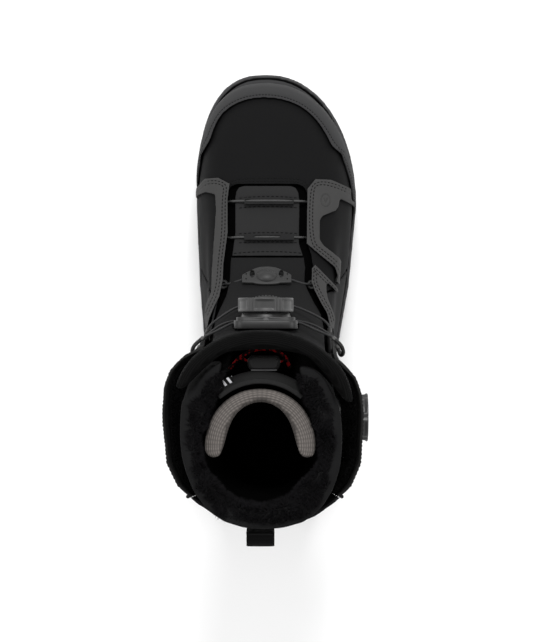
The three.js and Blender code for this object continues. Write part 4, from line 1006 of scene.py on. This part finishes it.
# Liner: a quilted inner boot of black cloth over foam, with a fur-lined cuff open at the front, a pad of
# grey knit rolled over the cuff's edge, a stretch tongue and a plain woven tab with light bars.
def cloth_finish(name, dark, light, size, depth, shine=0.03):
    made = Finish(name, dark, 0.95, Specular_IOR_Level=shine)
    here = made.spot()
    over = (here.axis("X") / (size * MM)).swing()
    under = ((here.axis("Y") + here.axis("Z")) / (size * MM)).swing()
    fuzz = made.noise(here, 2200, 3)
    cloud = made.noise(here, 60, 3)
    made.feed("Base Color", made.shades(over * under * 0.5 + fuzz * 0.25 + cloud * 0.3, dark, light))
    return made.relief(over * 0.4 + under * 0.4 + fuzz * 0.2, depth).material


inner_cloth = cloth_finish("inner_cloth", grey(0.0006), grey(0.0014), 1.2, 0.1 * MM)
band_cloth = cloth_finish("cuff_band_cloth", (0.0075, 0.0075, 0.0078), (0.012, 0.012, 0.0122), 0.9, 0.1 * MM)
tongue_stretch = cloth_finish("liner_tongue_cloth", grey(0.0145), grey(0.021), 0.8, 0.06 * MM)
for node in ("liner_forefoot", "liner_shaft", "liner_sole"):
    part = skin_of(node, f"{node}_padding", 2.0, 30, 0.8)
    dress(part, inner_cloth, "shell", node, slot="foam" if node == "liner_sole" else "black_textile")

cuff = copy_node("liner_cuff", "liner_cuff_padding")
puff(cuff, 3.8, 1.6, 3.5)
dress(cuff, band_cloth, "shell", "liner_cuff", slot="fur")
# Its light colour is the painted highlight at the hair tips.
fur_hair = sliver_finish("cuff_fur", (0.0007, 0.0006, 0.0008), (0.0068, 0.0062, 0.0073), 5 * MM)


def on_fur(place, normal):
    """Everywhere on the cuff but its outer band of plain cloth, which is narrower at the heel."""
    rim = points_of(cuff) / MM
    away = (rim - np.array((-3, -97, 0))) * (1, 1, 0)
    away /= np.linalg.norm(away, axis=1, keepdims=True)
    rim = rim[np.einsum("ij,ij->i", away, points_of(cuff, "normal")) > 0.6]
    tree = KDTree(len(rim))
    for index, point in enumerate(rim):
        tree.insert((point[0], point[1], 0), index)
    tree.balance()
    gap = np.array([tree.find((x, y, 0))[2] for x, y, _ in place])
    return (gap > np.where(place[:, 1] < -120, 2.2, 4)) & ((normal[:, 2] > -0.1) | (gap > 12))


pile("liner_cuff_fur", cuff, 17000, 3.6, 0.45, 0.45, on_fur, fur_hair, "shell", "fur", 5)

PAD_DARK, PAD_LIGHT = (0.046, 0.042, 0.04), (0.155, 0.14, 0.13)
pad_knit = knit_finish("pad_knit", PAD_DARK, PAD_LIGHT, (-3.6, -98), 0.97, 1.35, 0.65, 0.3 * MM)
pad = copy_node("liner_collar_pad", "liner_knit_pad")
puff(pad, 3.0, 1.2, 2.6)
dress(pad, pad_knit, "shell", "liner_collar_pad", slot="grey_knit")

liner_tongue = skin_of("liner_tongue", "liner_tongue_pad", 0.8, 30, 0.6)
# Its front slopes forward to meet the lock, and is fuller than the strip under it.
padding = points_of(liner_tongue)
spoke = (padding / MM - np.array((-3.6, -98, 0))) * (1, 1, 0)
reach = np.linalg.norm(spoke, axis=1, keepdims=True)
height = padding[:, 2:] / MM
slope = np.clip((266.5 - height) / 8, 0, 1) * np.clip((height - 244) / 8, 0, 1)
set_points(liner_tongue, padding + spoke / reach * np.clip(reach - 38.2, 0, 1) * slope * 4.4 * MM)
dress(liner_tongue, tongue_stretch, "shell", "liner_tongue", slot="black_textile")

tab = Finish("tab_weave", grey(0.006), 0.9, Specular_IOR_Level=0.05)
where = tab.spot(turn=(0, 0, math.radians(-38)))
bars = (where.axis("X") / (3.4 * MM)).swing().ramp(0.5, 0.7)
tab.feed("Base Color", tab.shades(bars, grey(0.006), (0.5, 0.5, 0.52)))
tab.relief(bars, 0.08 * MM)
label = copy_node("liner_label", "liner_woven_tab")
round_edges(label, 0.2, 2)
dress(label, tab.material, "shell", "liner_label", slot="black_textile")


# Liner lacing: a black cord flecked with red, held by a sprung lock that slides on it.
lace_weave = Finish("lace_weave", (0.01, 0.002, 0.002), 0.85, Specular_IOR_Level=0.08)
lace_spot = lace_weave.spot()
flecks = lace_weave.noise(lace_spot, 330, 1).ramp(0.5, 0.6)
lace_weave.feed("Base Color", lace_weave.shades(flecks, (0.006, 0.001, 0.001), (0.24, 0.004, 0.006)))
lace_weave.relief(lace_weave.cells(lace_spot, 1700), 0.12 * MM)
LACE_ROUTE = [
    (-22.4, -51.5, 249.5), (-16.5, -44.6, 250.5), (-9, -40.4, 251), (-1.5, -39.2, 251), (6, -40.4, 251),
    (11.6, -44.4, 250.5), (14.4, -51, 249.5),
]
strand("liner_lace_run", LACE_ROUTE, 1.1, lace_weave.material, "shell", "liner_lace", slot="lace")
for name, ends in (
    ("liner_lace_left", [(-17.5, -44.5, 250.6), (-14.5, -45.2, 252), (-10.6, -47, 253)]),
    ("liner_lace_right", [(12.6, -45, 250.6), (10.5, -46, 252), (7.6, -47, 253)]),
):
    strand(name, ends, 0.9, lace_weave.material, "cord_lock", slot="lace", turn=(ends[0], ends[-1]))

lock_plastic = plate_finish("lock_plastic", (0.004, 0.004, 0.0042), 0.45, 0.2)
lock = copy_node("cord_lock_body", "cord_lock_case")
round_edges(lock, 0.5, 3, 40)
dress(lock, lock_plastic, "cord_lock", "cord_lock_body", slot="dark_plastic")
button = copy_node("cord_lock_button", "cord_lock_press_button")
round_edges(button, 0.3, 2, 40)
dress(button, lock_plastic, "cord_button", "cord_lock_button", slot="dark_plastic")
slot_bar = add_stock("cube", "cord_lock_slot_bar", size=1, location=(-1.5 * MM, -51.9 * MM, 257.9 * MM),
                     scale=(16 * MM, 1.1 * MM, 1.3 * MM))
round_edges(slot_bar, 0.3, 2)
bar_plastic = plate_finish("slot_bar_grey", (0.09, 0.09, 0.092), 0.4, 0.3)
dress(slot_bar, bar_plastic, "cord_lock", slot="dark_plastic")
spring_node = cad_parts["cord_lock_spring"]
spring_node.data.materials.clear()
spring_node.data.materials.append(steel.material)
